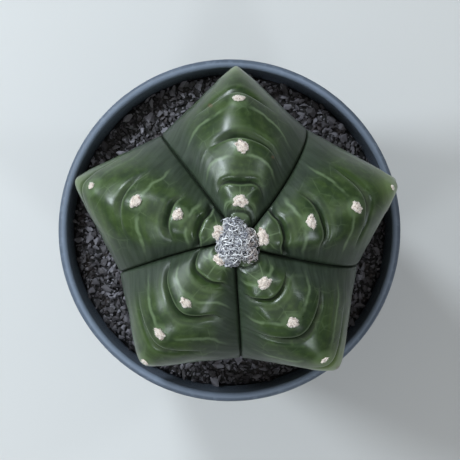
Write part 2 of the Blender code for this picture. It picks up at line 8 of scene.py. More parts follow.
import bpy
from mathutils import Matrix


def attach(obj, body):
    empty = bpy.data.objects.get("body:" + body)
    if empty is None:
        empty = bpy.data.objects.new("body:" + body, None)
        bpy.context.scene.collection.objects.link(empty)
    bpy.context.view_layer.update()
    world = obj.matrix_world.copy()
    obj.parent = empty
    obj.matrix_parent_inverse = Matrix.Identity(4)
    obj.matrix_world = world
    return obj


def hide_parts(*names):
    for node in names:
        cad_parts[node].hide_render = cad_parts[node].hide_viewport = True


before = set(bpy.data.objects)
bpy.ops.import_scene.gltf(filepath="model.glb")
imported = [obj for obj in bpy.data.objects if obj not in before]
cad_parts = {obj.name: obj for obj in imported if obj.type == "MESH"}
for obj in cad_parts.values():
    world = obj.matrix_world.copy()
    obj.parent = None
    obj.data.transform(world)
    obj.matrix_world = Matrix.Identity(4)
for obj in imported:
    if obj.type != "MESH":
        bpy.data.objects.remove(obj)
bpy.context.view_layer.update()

# %% What the cells below use
import math
import random
from math import cos, pi, radians, sin

import bmesh
import bpy
import numpy as np
from mathutils import Matrix, Vector

SCENE = bpy.context.scene


def new_object(name, data, *materials):
    """A mesh, lamp or camera placed in the scene. A mesh has its vertices already where they belong."""
    obj = bpy.data.objects.new(name, data)
    SCENE.collection.objects.link(obj)
    for material in materials:
        data.materials.append(material)
    return obj


def mesh_of(name, shape):
    """A finished bmesh, made a plain mesh."""
    mesh = bpy.data.meshes.new(name)
    shape.to_mesh(mesh)
    shape.free()
    return mesh


def finished(obj, slot, *nodes):
    """Rides a finished piece on the frame's only body, and hides the CAD nodes that it stands for."""
    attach(obj, "root")
    if nodes:
        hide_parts(*nodes)
    triangles = sum(len(face.vertices) - 2 for face in obj.data.polygons)
    print(f"{obj.name}: {triangles} triangles")


# %% [markdown]
# ## Small helpers for nodes
# A finish is a network of small nodes. Written out node by node it is long and hard to read, so these
# helpers add a node, fill its sockets and hand on its output as a Value. Values can be added, subtracted
# and multiplied like numbers: each sign adds one Math node to the tree that the Value comes from.

# %% Values that calculate, and helpers that add nodes
class Value:
    """A node's output that can be calculated with."""

    def __init__(self, socket):
        self.socket = socket

    def __add__(self, other):
        return calculate("ADD", self, other)

    def __mul__(self, other):
        return calculate("MULTIPLY", self, other)

    def __sub__(self, other):
        return calculate("SUBTRACT", self, other)

    def __rsub__(self, other):
        return calculate("SUBTRACT", other, self)


def fill(made, inputs):
    """Joins each Value to a node's socket, and sets any other number or colour on the socket itself."""
    for key, value in inputs.items():
        if isinstance(value, Value):
            made.id_data.links.new(value.socket, made.inputs[key])
        else:
            made.inputs[key].default_value = value


def node(kind, inputs=None, tree=None, **options):
    """A new node, in the tree that its inputs come from if no tree is named."""
    inputs = inputs or {}
    if tree is None:
        tree = next(value.socket.id_data for value in inputs.values() if isinstance(value, Value))
    made = tree.nodes.new(kind)
    for option, value in options.items():
        setattr(made, option, value)
    fill(made, inputs)
    return made


def output(kind, inputs=None, socket=0, tree=None, **options):
    return Value(node(kind, inputs, tree, **options).outputs[socket])


def calculate(operation, *values):
    return output("ShaderNodeMath", dict(enumerate(values)), operation=operation)


# %% Masks, mixing and noise
def rising(value, low, high):
    """A mask that is 0 up to low and 1 from high on, eased between them."""
    inputs = {"Value": value, "From Min": low, "From Max": high}
    return output("ShaderNodeMapRange", inputs, interpolation_type="SMOOTHSTEP")


def falling(value, low, high):
    return 1.0 - rising(value, low, high)


def highest(first, *others):
    for other in others:
        first = calculate("MAXIMUM", first, other)
    return first


def paint(red, green, blue):
    """A colour as it looks on a screen, from 0 to 255, turned into the linear light that shaders use."""
    values = np.array((red, green, blue)) / 255
    return (*np.where(values > 0.04045, ((values + 0.055) / 1.055) ** 2.4, values / 12.92).tolist(), 1.0)


def mixed(factor, first, second):
    """Two colours mixed. Each is a Value, or red, green and blue as they look on a screen."""
    first, second = (colour if isinstance(colour, Value) else paint(*colour) for colour in (first, second))
    return output("ShaderNodeMix", {0: factor, 6: first, 7: second}, 2, data_type="RGBA")


def noise(vector, scale, detail=2.0, roughness=0.5):
    inputs = {"Vector": vector, "Scale": scale, "Detail": detail, "Roughness": roughness}
    return output("ShaderNodeTexNoise", inputs)


def bumps(height, distance, strength):
    return output("ShaderNodeBump", {"Height": height, "Distance": distance, "Strength": strength})


# %% Places, attributes and colours
def millimetres(tree):
    """The place on the piece, in millimetres, so that a scale of 0.5 makes marks of about 2 mm."""
    place = output("ShaderNodeTexCoord", socket="Object", tree=tree)
    return output("ShaderNodeVectorMath", {0: place, "Scale": 1000.0}, operation="SCALE")


def parts_of(vector):
    return map(Value, node("ShaderNodeSeparateXYZ", {0: vector}).outputs)


def distance_of(x, y):
    return calculate("SQRT", x * x + y * y)


def attribute(tree, name, socket="Vector"):
    return output("ShaderNodeAttribute", socket=socket, tree=tree, attribute_name=name)


def new_material(name, slot_colour):
    material = bpy.data.materials.new(name)
    material.use_nodes = True
    material.diffuse_color = paint(*slot_colour)
    return material, material.node_tree, material.node_tree.nodes["Principled BSDF"]


# %% [markdown]
# ## Shared effects
# Two effects are needed again and again. Fine grain breaks up the gloss of moulded plastic, of stone and
# of skin, and thin soft lines mark the skin's arcs and rays, its painted lip highlights and a painted
# shade band inside each lip. Each is a node group with named sockets. A group hands on only values,
# because shaders stay in the material itself.

# %% Node groups for grain and soft lines
NUMBER, ARROW = "NodeSocketFloat", "NodeSocketVector"


def new_group(name, kind, inputs, outputs):
    """A node group with named sockets: its tree, what it is given, and the node that takes its results."""
    tree = bpy.data.node_groups.new(name, kind)
    for way, sockets in (("INPUT", inputs), ("OUTPUT", outputs)):
        for label, socket_type in sockets.items():
            tree.interface.new_socket(name=label, in_out=way, socket_type=socket_type)
    given = {socket.name: Value(socket) for socket in node("NodeGroupInput", tree=tree).outputs}
    return tree, given, node("NodeGroupOutput", tree=tree)


GRAIN, given, result = new_group(
    "fine_grain", "ShaderNodeTree", {"Place": ARROW, "Grains per mm": NUMBER, "Patches per mm": NUMBER},
    {"Grain": NUMBER, "Patches": NUMBER})
fill(result, {
    "Grain": noise(given["Place"], given["Grains per mm"], 3.0, 0.6),
    "Patches": noise(given["Place"], given["Patches per mm"], 4.0, 0.55)})

LINE, given, result = new_group(
    "soft_line", "ShaderNodeTree", {"Value": NUMBER, "Centre": NUMBER, "Half Width": NUMBER},
    {"Mask": NUMBER})
distance = calculate("ABSOLUTE", given["Value"] - given["Centre"])
fill(result, {"Mask": falling(calculate("DIVIDE", distance, given["Half Width"]), 0.0, 1.0)})
print("groups:", GRAIN.name, LINE.name)


def grain_at(place, grains_per_mm, patches_per_mm):
    """Fine grain and broad patches, as two masks."""
    inputs = {"Place": place, "Grains per mm": grains_per_mm, "Patches per mm": patches_per_mm}
    return map(Value, node("ShaderNodeGroup", inputs, node_tree=GRAIN).outputs)


def line_at(value, centre, half_width):
    inputs = {"Value": value, "Centre": centre, "Half Width": half_width}
    return output("ShaderNodeGroup", inputs, node_tree=LINE)


# %% [markdown]
# ## The scattering tree
# Thousands of chips, curls and hairs differ only in size, turn and shade, so one Geometry Nodes tree
# places them all. It spreads points over a base mesh, no two closer than a spacing, and thins them out
# by the base's own "cover" attribute. It picks a shape for each point, turns it about the surface's
# normal, tilts it a little, and notes a random shade. Realize Instances makes real mesh of it.

# %% The tree that scatters shapes over a surface
SCATTER, given, result = new_group("scatter_shapes", "GeometryNodeTree", {
    "Base": "NodeSocketGeometry", "Shapes": "NodeSocketCollection", "Density": NUMBER, "Spacing": NUMBER,
    "Smallest": NUMBER, "Largest": NUMBER, "Tilt": NUMBER, "Seed": "NodeSocketInt",
    "Finish": "NodeSocketMaterial"}, {"Result": "NodeSocketGeometry"})
seed, tilt = given["Seed"], given["Tilt"]
cover = output("GeometryNodeInputNamedAttribute", {"Name": "cover"}, "Attribute", SCATTER, data_type="FLOAT")
points = node("GeometryNodeDistributePointsOnFaces", {
    "Mesh": given["Base"], "Distance Min": given["Spacing"], "Density Max": given["Density"],
    "Density Factor": cover, "Seed": seed}, distribute_method="POISSON").outputs
shapes = output("GeometryNodeCollectionInfo", {
    "Collection": given["Shapes"], "Separate Children": True, "Reset Children": True})
pick = output("FunctionNodeRandomValue", {5: 1000, "Seed": seed}, 2, data_type="INT")
low = output("ShaderNodeCombineXYZ", {0: tilt * -1.0, 1: tilt * -1.0, 2: -pi})
high = output("ShaderNodeCombineXYZ", {0: tilt, 1: tilt, 2: pi})
turn = output("FunctionNodeRandomValue", {0: low, 1: high, "Seed": seed}, data_type="FLOAT_VECTOR")
turn = output("FunctionNodeRotateRotation", {
    "Rotation": Value(points["Rotation"]), "Rotate By": output("FunctionNodeEulerToRotation", {0: turn}),
}, rotation_space="LOCAL")
size = output("FunctionNodeRandomValue", {
    2: given["Smallest"], 3: given["Largest"], "Seed": seed + 1.0}, 1, data_type="FLOAT")
placed = output("GeometryNodeInstanceOnPoints", {
    "Points": Value(points["Points"]), "Instance": shapes, "Pick Instance": True, "Instance Index": pick,
    "Rotation": turn, "Scale": size})
shade = output("FunctionNodeRandomValue", {"Seed": seed + 2.0}, 1, data_type="FLOAT")
noted = output("GeometryNodeStoreNamedAttribute", {"Geometry": placed, "Name": "shade", "Value": shade},
               data_type="FLOAT", domain="INSTANCE")
real = output("GeometryNodeRealizeInstances", {"Geometry": noted})
fill(result, {0: output("GeometryNodeSetMaterial", {"Geometry": real, "Material": given["Finish"]})})
print(f"scattering tree: {len(SCATTER.nodes)} nodes")

# %% Using the tree, and joining what it makes
def scattered(name, base, **values):
    """The tree's result on a base mesh, kept as a plain mesh object."""
    carrier = new_object(name, base)
    modifier = carrier.modifiers.new("Scatter", "NODES")
    modifier.node_group = SCATTER
    for socket in SCATTER.interface.items_tree:
        if socket.in_out == "INPUT" and socket.name in values:
            modifier[socket.identifier] = values[socket.name]
    graph = bpy.context.evaluated_depsgraph_get()
    mesh = bpy.data.meshes.new_from_object(
        carrier.evaluated_get(graph), preserve_all_data_layers=True, depsgraph=graph)
    carrier.modifiers.clear()
    carrier.data = mesh
    return carrier


def shape_collection(name, meshes):
    """Shapes for the scattering tree, kept out of the scene so that only their copies show."""
    shelf = bpy.data.collections.new(name)
    for number, mesh in enumerate(meshes):
        shelf.objects.link(bpy.data.objects.new(f"{name}_{number}", mesh))
    return shelf


def joined(name, objects, *materials):
    """Several mesh objects made one piece."""
    whole = bmesh.new()
    for obj in objects:
        whole.from_mesh(obj.data)
        bpy.data.objects.remove(obj)
    return new_object(name, mesh_of(name, whole), *materials)


def set_cover(mesh, values):
    mesh.attributes.new("cover", "FLOAT", "POINT").data.foreach_set("value", values)


# %% [markdown]
# ## The pot
# The real pot is one moulded plastic shell: a tapered wall, a low collar, a rounded lip, a floor with
# drainage holes and a notched foot ring. A pot is round, so its profile is drawn once as radius and
# height and spun round Z by a Screw modifier, with small arcs where the mould rounds the edges. The
# holes and notches are Boolean cuts, as in the CAD model, but the turned shape has many more steps.

# %% The profile of the pot
POT_HEIGHT = 0.088
POT_LIP_RADIUS = 0.050
POT_FOOT_RADIUS = 0.0365
POT_WALL = 0.0020
POT_LIP_WIDTH = 0.0026
COLLAR_HEIGHT = 0.0060
COLLAR_STEP = 0.0008
POT_FLOOR = 0.0055
FLOOR_CORNER = 0.0030
FOOT_CHAMFER = 0.0013
FOOT_RING_HEIGHT = 0.0030
FOOT_RING_WIDTH = 0.0045
EDGE_ROUND = 0.00035
POT_STEPS = 192


def pot_outer_radius(height):
    share = height / (POT_HEIGHT - COLLAR_HEIGHT)
    return POT_FOOT_RADIUS + (POT_LIP_RADIUS - COLLAR_STEP - POT_FOOT_RADIUS) * min(share, 1.0)


def pot_inner_radius(height):
    return pot_outer_radius(height) - POT_WALL


def rounded(corner, before, after, radius, points=4):
    """A corner of a profile replaced by a short curve between its two sides."""
    corner, before, after = (np.array(place) for place in (corner, before, after))
    start = corner + (before - corner) / np.linalg.norm(before - corner) * radius
    end = corner + (after - corner) / np.linalg.norm(after - corner) * radius
    turn = np.linspace(0, 1, points + 1)[:, None]
    return ((1 - turn) ** 2 * start + 2 * turn * (1 - turn) * corner + turn**2 * end).tolist()


def pot_profile():
    """From the middle of the floor inside, up the wall, over the lip, down the outside and under the foot."""
    lip_round = POT_LIP_WIDTH / 2
    collar, floor_top = POT_HEIGHT - COLLAR_HEIGHT, POT_FLOOR + FLOOR_CORNER
    ring_inside = POT_FOOT_RADIUS - FOOT_RING_WIDTH
    floor_edge = (pot_inner_radius(POT_FLOOR) - FLOOR_CORNER, POT_FLOOR)
    inside = [(0.0, POT_FLOOR), floor_edge]
    inside += rounded((pot_inner_radius(POT_FLOOR), POT_FLOOR), floor_edge,
                      (pot_inner_radius(floor_top), floor_top), FLOOR_CORNER)[1:]
    inside += [(pot_inner_radius(collar), collar)]
    lip = [
        (POT_LIP_RADIUS - lip_round - lip_round * cos(turn),
         POT_HEIGHT - lip_round + lip_round * sin(turn))
        for turn in np.linspace(0, pi, 17)
    ]
    corners = [
        (POT_LIP_RADIUS, collar + 3 * COLLAR_STEP), (POT_LIP_RADIUS, collar + COLLAR_STEP),
        (pot_outer_radius(collar), collar), (pot_outer_radius(FOOT_CHAMFER), FOOT_CHAMFER),
        (POT_FOOT_RADIUS - FOOT_CHAMFER, 0.0), (ring_inside, 0.0)]
    outside = corners[:1]
    for before, corner, after in zip(corners, corners[1:], corners[2:]):
        outside += rounded(corner, before, after, EDGE_ROUND)
    outside += [(ring_inside, 0.0), (ring_inside - COLLAR_STEP, FOOT_RING_HEIGHT), (0.0, FOOT_RING_HEIGHT)]
    return inside + lip + outside


# %% The turned shell, its drainage holes and the notches under its foot
DRAIN_HOLES = 6
DRAIN_HOLE_RADIUS = 0.0032
DRAIN_CIRCLE = 0.020
FOOT_NOTCHES = 4
FOOT_NOTCH_WIDTH = 0.010
MERGE_DISTANCE = 0.00002
SHARP_ANGLE = 38


def evaluated_mesh(obj):
    return bpy.data.meshes.new_from_object(obj.evaluated_get(bpy.context.evaluated_depsgraph_get()))


def turned(name, profile, steps):
    """A profile of radius and height turned round Z, closed at the axis."""
    mesh = bpy.data.meshes.new(name)
    edges = [(number, number + 1) for number in range(len(profile) - 1)]
    mesh.from_pydata([(radius, 0.0, height) for radius, height in profile], edges, [])
    obj = new_object(name, mesh)
    screw = obj.modifiers.new("Turn", "SCREW")
    screw.steps = screw.render_steps = steps
    screw.use_merge_vertices = True
    screw.merge_threshold = MERGE_DISTANCE
    obj.data = evaluated_mesh(obj)
    obj.modifiers.clear()
    return obj


def pot_cutters():
    """Cylinders through the floor and blocks across the foot ring, as one object."""
    cutters = bmesh.new()
    places = [(0.0, 0.0)]
    for number in range(DRAIN_HOLES):
        angle = 2 * pi * number / DRAIN_HOLES
        places.append((DRAIN_CIRCLE * cos(angle), DRAIN_CIRCLE * sin(angle)))
    for x, y in places:
        bmesh.ops.create_cone(
            cutters, cap_ends=True, segments=40, radius1=DRAIN_HOLE_RADIUS, radius2=DRAIN_HOLE_RADIUS,
            depth=4 * (POT_FLOOR - FOOT_RING_HEIGHT), matrix=Matrix.Translation((x, y, POT_FLOOR)))
    reach = POT_FOOT_RADIUS - FOOT_RING_WIDTH / 2
    size = Matrix.Diagonal((2.4 * FOOT_RING_WIDTH, FOOT_NOTCH_WIDTH, 1.3 * FOOT_RING_HEIGHT, 1))
    for number in range(FOOT_NOTCHES):
        turn = Matrix.Rotation(2 * pi * (number + 0.5) / FOOT_NOTCHES, 4, "Z")
        bmesh.ops.create_cube(cutters, size=1, matrix=turn @ Matrix.Translation((reach, 0, 0)) @ size)
    return new_object("pot_cutters", mesh_of("pot_cutters", cutters))


pot = turned("pot_shell", pot_profile(), POT_STEPS)
cutter = pot_cutters()
cut = pot.modifiers.new("Holes", "BOOLEAN")
cut.operation = "DIFFERENCE"
cut.object = cutter
pot.data = evaluated_mesh(pot)
pot.modifiers.clear()
bpy.data.objects.remove(cutter)
pot.data.shade_smooth()
pot.data.set_sharp_from_angle(angle=radians(SHARP_ANGLE))

# %% [markdown]
# The plastic is a satin slate blue. Moulded plastic is never quite even: the mould leaves a fine grain,
# handling polishes the lip and scuffs it, and watering leaves a dark tide line where the grit ends.
# Patches of noise move the colour and the roughness a little. Height and radius say where the dust and
# the wear lie, and where the inner wall is, which is painted paler as painted light against the shade inside
# the pot.

# %% The pot's finish
def pot_finish():
    material, tree, shader = new_material("slate_plastic", (90, 102, 118))
    place = millimetres(tree)
    x, y, height = parts_of(place)
    grain, patches = grain_at(place, 2.6, 0.045)
    colour = mixed(rising(patches, 0.35, 0.65), (81, 91, 105), (91, 101, 115))
    worn = rising(height, 86.6, 88.0) * rising(noise(place, 0.5, 3.0), 0.5, 0.7)
    colour = mixed(worn * 0.35, colour, (124, 136, 152))
    wall_slope = (pot_outer_radius(POT_HEIGHT) - POT_FOOT_RADIUS) / (POT_HEIGHT - COLLAR_HEIGHT)
    outer_face = height * wall_slope + 1000 * POT_FOOT_RADIUS
    inside = falling(distance_of(x, y) - outer_face, -1.5, -0.9)
    # Painted light: the inner wall is painted paler, to offset the shade inside the pot.
    colour = mixed(inside * 0.6, colour, (128, 140, 158))
    splash = inside * falling(height, 79.5, 83.5) * rising(grain, 0.35, 0.7)
    colour = mixed(splash * 0.6, colour, (62, 60, 62))
    foot = falling(height, 1.0, 9.0) * rising(noise(place, 0.25, 4.0), 0.45, 0.75)
    colour = mixed(foot * 0.35, colour, (128, 128, 126))
    stretched = output("ShaderNodeMapping", {"Vector": place, "Scale": (0.02, 0.02, 1.6)})
    scuffs = rising(noise(stretched, 3.0, 4.0, 0.7), 0.66, 0.74) * rising(noise(place, 0.06, 2.0), 0.52, 0.62)
    colour = mixed(scuffs * 0.25, colour, (138, 150, 165))
    fill(shader, {"Base Color": colour, "Roughness": patches * 0.16 + 0.33 + splash * 0.3,
                  "Normal": bumps(grain, 0.00003, 0.6), "Specular IOR Level": 0.30})
    return material


pot.data.materials.append(pot_finish())
finished(pot, "pot", "pot")

# %% [markdown]
# ## The stem's formula
# The stem is the main piece, and its shape follows a rule. Ribs, furrows and creases all come from a
# few numbers, so it is computed rather than sculpted. A crest line gives one rib's profile from the
# middle of the crown to the root. A star-shaped section spreads it round the axis, and rows of skin
# follow the furrows that cross each rib. The CAD model uses the same formula, so the fine skin lies
# close to its solid. Its furrows are finer, and its valleys bend sideways as real ones do.

# %% The crest line of a rib
GRIT_LEVEL = 0.0795
RIBS = 5
RIB_REACH = (0.0458, 0.0476, 0.0452, 0.0475, 0.0466)
WIDEST_RADIUS = sum(RIB_REACH) / RIBS
WIDEST_HEIGHT = 0.1015
SHOULDER_HEIGHT = 0.0265
SHOULDER_POWER = 2.4
BASE_DEPTH = 0.0325
BASE_POWER = 2.0
CROWN_DIMPLE = 0.0022
CROWN_DIMPLE_RADIUS = 0.0050
ROOT_TOP_RADIUS = 0.0115
ROOT_TIP_RADIUS = 0.0030
ROOT_LENGTH = 0.036
ROOT_TIP = 0.0020
CREST_SAMPLES = 160


def eased(value):
    value = np.clip(value, 0.0, 1.0)
    return value * value * (3 - 2 * value)


def crest_line():
    """The crest of a rib from the crown's centre to the root's tip: distance along it, radius and height."""
    turn = np.linspace(0, pi / 2, CREST_SAMPLES)
    upper_radius = WIDEST_RADIUS * np.sin(turn) ** (2 / SHOULDER_POWER)
    upper_height = WIDEST_HEIGHT + SHOULDER_HEIGHT * np.cos(turn) ** (2 / SHOULDER_POWER)
    dimple = CROWN_DIMPLE * np.exp(-((upper_radius / CROWN_DIMPLE_RADIUS) ** 2))
    lower_radius = WIDEST_RADIUS * np.cos(turn[1:]) ** (2 / BASE_POWER)
    lower_height = WIDEST_HEIGHT - BASE_DEPTH * np.sin(turn[1:]) ** (2 / BASE_POWER)
    kept = lower_radius > ROOT_TOP_RADIUS
    root_top = WIDEST_HEIGHT - BASE_DEPTH
    root_radius = [ROOT_TOP_RADIUS, ROOT_TIP_RADIUS, 0.0]
    root_height = [root_top, root_top - ROOT_LENGTH, root_top - ROOT_LENGTH - ROOT_TIP]
    radius = np.concatenate([upper_radius, lower_radius[kept], root_radius])
    height = np.concatenate([upper_height - dimple, lower_height[kept], root_height])
    along = np.concatenate([[0.0], np.cumsum(np.hypot(np.diff(radius), np.diff(height)))])
    return along, radius, height


ALONG, CREST_RADIUS, CREST_HEIGHT = crest_line()
CREST_END = float(ALONG[-1])
WIDEST = CREST_SAMPLES - 1
WIDEST_ALONG = float(ALONG[WIDEST])
GRIT_ALONG = float(np.interp(-GRIT_LEVEL, -CREST_HEIGHT[WIDEST:], ALONG[WIDEST:]))
print(f"crest: {1000 * WIDEST_ALONG:.1f} mm to the widest place, {1000 * GRIT_ALONG:.1f} mm to the grit")


def crest_radius_at(along):
    return np.interp(along, ALONG, CREST_RADIUS)


def crest_height_at(along):
    return np.interp(along, ALONG, CREST_HEIGHT)


# %% [markdown]
# Across each rib run furrows, one for each year or so of growth. A row of skin between two furrows is
# named by its year, counted from the crown, and by its phase from 0 to 1 between them. So any point of
# the skin is a year, a phase, a rib and a share from -1 to 1 across that rib, valley to valley.

# %% Places of the furrows, and the skin they divide
BURIAL_DEPTH = 0.0080
FURROW_REACH = (
    (0.0156, 0.0280, 0.0400),
    (0.0104, 0.0192, 0.0326),
    (0.0130, 0.0248, 0.0369),
    (0.0178, 0.0308, 0.0426),
    (0.0125, 0.0232, 0.0363),
)
FLANK_FURROW_STEPS = (
    (0.0300, 0.0150),
    (0.0150, 0.0260),
    (0.0165, 0.0245),
    (0.0280, 0.0130),
    (0.0168, 0.0245),
)
CROWN_FURROW_SHARES = (0.52, 0.42, 0.42, 0.42, 0.42)
FURROW_BOW = (0.0, 0.0003, 0.0009, 0.0016, 0.0022, 0.0016, 0.0008, 0.0, 0.0)
EXTRA_BOWS = (
    ((0.0012, 0.0011), (0, 0), (0, 0)),
    ((0, 0), (0.0005, -0.0010), (0, 0)),
    ((0.0006, -0.0008), (-0.0012, -0.0025), (-0.0008, -0.0008)),
    ((-0.0013, -0.0003), (-0.0016, -0.0008), (0, -0.0033)),
    ((0, 0), (0.0010, 0), (0, 0)),
)
FIRST_RIB_YOUNG_BOW = 0.0003


def furrows_of(rib):
    upper = np.interp(FURROW_REACH[rib], CREST_RADIUS[:CREST_SAMPLES], ALONG[:CREST_SAMPLES])
    lower = upper[-1] + np.cumsum(FLANK_FURROW_STEPS[rib])
    return [0.0, upper[0] * CROWN_FURROW_SHARES[rib], *upper, *lower, GRIT_ALONG + BURIAL_DEPTH, CREST_END]


def span_of(rib, year):
    """The distance along the crest from one furrow to the next."""
    return FURROWS[rib, year + 1] - FURROWS[rib, year]


FURROWS = np.array([furrows_of(rib) for rib in range(RIBS)])
FURROW_BOWS = np.tile(FURROW_BOW, (RIBS, 2, 1))
FURROW_BOWS[:, :, 2:5] += np.array(EXTRA_BOWS).transpose(0, 2, 1)
FURROW_BOWS[0, :, 1] += FIRST_RIB_YOUNG_BOW
print("furrows of each rib, in mm:", (1000 * FURROWS).round(1).tolist())

# %% A point of the smooth skin
RIB_AZIMUTH = np.radians((90.7, 162.7, 234.2, 306.0, 377.4))
VALLEY_AZIMUTH = np.radians((128.6, 199.3, 271.2, 345.5, 416.9))
STEM_CENTRE = (0.0024, 0.0001)
STEM_LEAN = (-0.0004, -0.0032)
CROWN_SWIRL = 0.0016
CROWN_SWIRL_CORE = 0.0030
VALLEY_BEND = np.array((0.0010, 0.0017, -0.0010, 0.0, 0.0022))
VALLEY_BEND_CORE = 0.0060
YOUNG_VALLEY = 0.90
OLD_VALLEY = 0.735
VALLEY_DEEPENING = 1.3
YOUNG_CREST_ROUND = 0.50
OLD_CREST_ROUND = 0.012
CREST_SHARPENING = 1.15
FLANK_SWELL = 0.010
VALLEY_SINK = 0.0052
VALLEY_SINK_POWER = 2.5
SMALL_STEP = 0.0002
SHARE_STEP = 0.01


def half_angle(rib, share):
    after = VALLEY_AZIMUTH[rib] - RIB_AZIMUTH[rib]
    before = RIB_AZIMUTH[rib] - np.roll(VALLEY_AZIMUTH, 1)[rib]
    return np.where(share > 0, after, before % (2 * pi))


def above_burial(height):
    return 1 - eased((GRIT_LEVEL - height) / BURIAL_DEPTH)


def section_reach(age, rib, share, standing):
    """The star section's radius as a share of the crest line's, nearly straight from crest to valley."""
    valley = YOUNG_VALLEY + (OLD_VALLEY - YOUNG_VALLEY) * age**VALLEY_DEEPENING
    valley = 1 + (valley - 1) * standing
    crest_round = OLD_CREST_ROUND + (YOUNG_CREST_ROUND - OLD_CREST_ROUND) * (1 - age) ** CREST_SHARPENING
    half = half_angle(rib, share)
    bend = np.sqrt(share**2 + crest_round**2) - crest_round
    bend = half * bend / (np.sqrt(1 + crest_round**2) - crest_round)
    slope = (1 / valley - np.cos(half)) / np.sin(half)
    reach = 1 / (np.cos(bend) + slope * np.sin(bend))
    swell = FLANK_SWELL * np.sin(pi * np.abs(share))
    own = (np.array(RIB_REACH)[rib] / WIDEST_RADIUS - 1) * (1 - eased(np.abs(share)))
    return reach * (1 + (swell + own) * age * standing)


def skin_point(along, rib, share):
    crest_radius, height = crest_radius_at(along), crest_height_at(along)
    age = np.clip(along / WIDEST_ALONG, 0, 1)
    standing = above_burial(height)
    radius = crest_radius * section_reach(age, rib, share, standing)
    azimuth = RIB_AZIMUTH[rib] + share * half_angle(rib, share)
    azimuth = azimuth - CROWN_SWIRL * (1 - age) / (crest_radius + CROWN_SWIRL_CORE)
    bend = VALLEY_BEND[np.where(share > 0, rib, rib - 1)] * np.sin(pi * age) * share**2
    azimuth = azimuth - bend / np.maximum(crest_radius, VALLEY_BEND_CORE)
    sink = VALLEY_SINK * np.sin(pi * age) * np.abs(share) ** VALLEY_SINK_POWER * standing
    rise = (height - WIDEST_HEIGHT) / SHOULDER_HEIGHT
    x = STEM_CENTRE[0] + STEM_LEAN[0] * rise + radius * np.cos(azimuth)
    y = STEM_CENTRE[1] + STEM_LEAN[1] * rise + radius * np.sin(azimuth)
    return np.stack([x, y, height - sink], axis=-1)


def skin_normal(along, rib, share):
    """The outward direction of the smooth skin."""
    least = 1e-12
    down = skin_point(along + SMALL_STEP, rib, share) - skin_point(along, rib, share)
    low, high = np.maximum(share - SHARE_STEP, -1), np.minimum(share + SHARE_STEP, 1)
    across = skin_point(along, rib, high) - skin_point(along, rib, low)
    normal = np.cross(down, across)
    length = np.linalg.norm(normal, axis=-1, keepdims=True)
    return np.where(length > least, normal / np.maximum(length, least), (0.0, 0.0, 1.0))


def crest_point(along):
    return skin_point(np.array(along), np.array(0), np.array(0.0))


# %% Rows of skin, and how strong each furrow is
FURROW_ENDS = (
    ((0.96, 0.96), (0.80, 0.74), (0.88, 0.50), (0.50, 0.55)),
    ((0.90, 0.90), (0.97, 0.97), (0.70, 0.64), (0.62, 0.42)),
    ((0.90, 0.90), (0.97, 0.84), (0.93, 0.72), (0.70, 0.55)),
    ((0.90, 0.90), (0.82, 0.66), (0.78, 0.72), (0.60, 0.60)),
    ((0.90, 0.90), (0.97, 0.97), (0.86, 0.68), (0.74, 0.55)),
)
FLANK_FURROW_ENDS = (0.58, 0.58)
FURROW_FADE = 0.48
FADE_PER_GAP = 3
LEAST_FADE = 0.03


def neighbour(rib, share):
    return (rib + np.where(share > 0, 1, -1)) % RIBS


def between_furrows(values, year, phase):
    return values[..., year] * (1 - phase) + values[..., year + 1] * phase


def row_along(year, phase, rib, share):
    """How far down the crest a row of skin lies. It bows out over a rib and meets the next in the valley."""
    here = between_furrows(FURROWS[rib], year, phase)
    there = between_furrows(FURROWS[neighbour(rib, share)], year, phase)
    pull = eased((np.abs(share) - 0.5) / 0.5) / 2
    bow = between_furrows(FURROW_BOWS[rib, np.where(share > 0, 1, 0)], year, phase)
    return here * (1 - pull) + there * pull + bow * np.sin(pi * np.abs(share)) ** 2


def furrow_force(number, rib, share):
    """How strong a furrow is at a place across its rib: full on the crest, fading towards both ends."""
    ends = [FURROW_ENDS[each][number - 1] if 0 < number < 5 else FLANK_FURROW_ENDS for each in range(RIBS)]
    before, after = np.array(ends).T
    end = np.where(share > 0, after[rib], before[rib])
    fade = np.minimum(FURROW_FADE, FADE_PER_GAP * (1 - end) + LEAST_FADE)
    return 1 - eased((np.abs(share) - end + fade) / fade)


# %% The relief of plates and valleys
BASE_YEAR = 6
FURROW_DEPTH = (0.0, 0.0003, 0.0011, 0.0012, 0.0008, 0.0004, 0.0003, 0.0, 0.0)
FURROW_OUTER_WALL = 0.0022
FURROW_INNER_SLOPE = 0.00034
PLATE_LIFT = 0.0007
PLATE_SWELL = 0.0003
LIP_OVERHANG = 0.0003
LIP_LENGTH = 0.0006
VALLEY_CREASE_DEPTH = 0.0013
VALLEY_CREASE_WIDTH = 0.00016
VALLEY_CREASE_START = 0.007
VALLEY_EDGE = 0.0007


def plate_relief(year, phase, rib, share):
    """A plate rises down the rib to its areole, and then drops over a lip into the next furrow."""
    span = span_of(rib, year)
    past, ahead = span * phase, span * (1 - phase)
    behind, front = (furrow_force(number, rib, share) for number in (year, year + 1))
    depth, next_depth = FURROW_DEPTH[year : year + 2]
    lift = PLATE_LIFT if depth else 0.0
    next_lip = next_depth + lift if next_depth else 0.0
    plate = (lift * phase + PLATE_SWELL * sin(pi * phase)) * front
    plate = plate - depth * (1 - eased(past / FURROW_OUTER_WALL)) * behind
    plate = plate - next_lip * np.exp(-ahead / FURROW_INNER_SLOPE) * front
    if year == BASE_YEAR:
        plate = plate * (1 - phase)
    return plate


def lip_shift(year, phase, rib, share):
    """How far the end of a plate leans out over the furrow ahead of it."""
    if not FURROW_DEPTH[year + 1]:
        return np.zeros(share.shape)
    ahead = span_of(rib, year) * (1 - phase) / LIP_LENGTH
    force = furrow_force(year + 1, rib, share) * FURROW_DEPTH[year + 1] / max(FURROW_DEPTH)
    return LIP_OVERHANG * force * ahead * np.exp(1 - ahead)


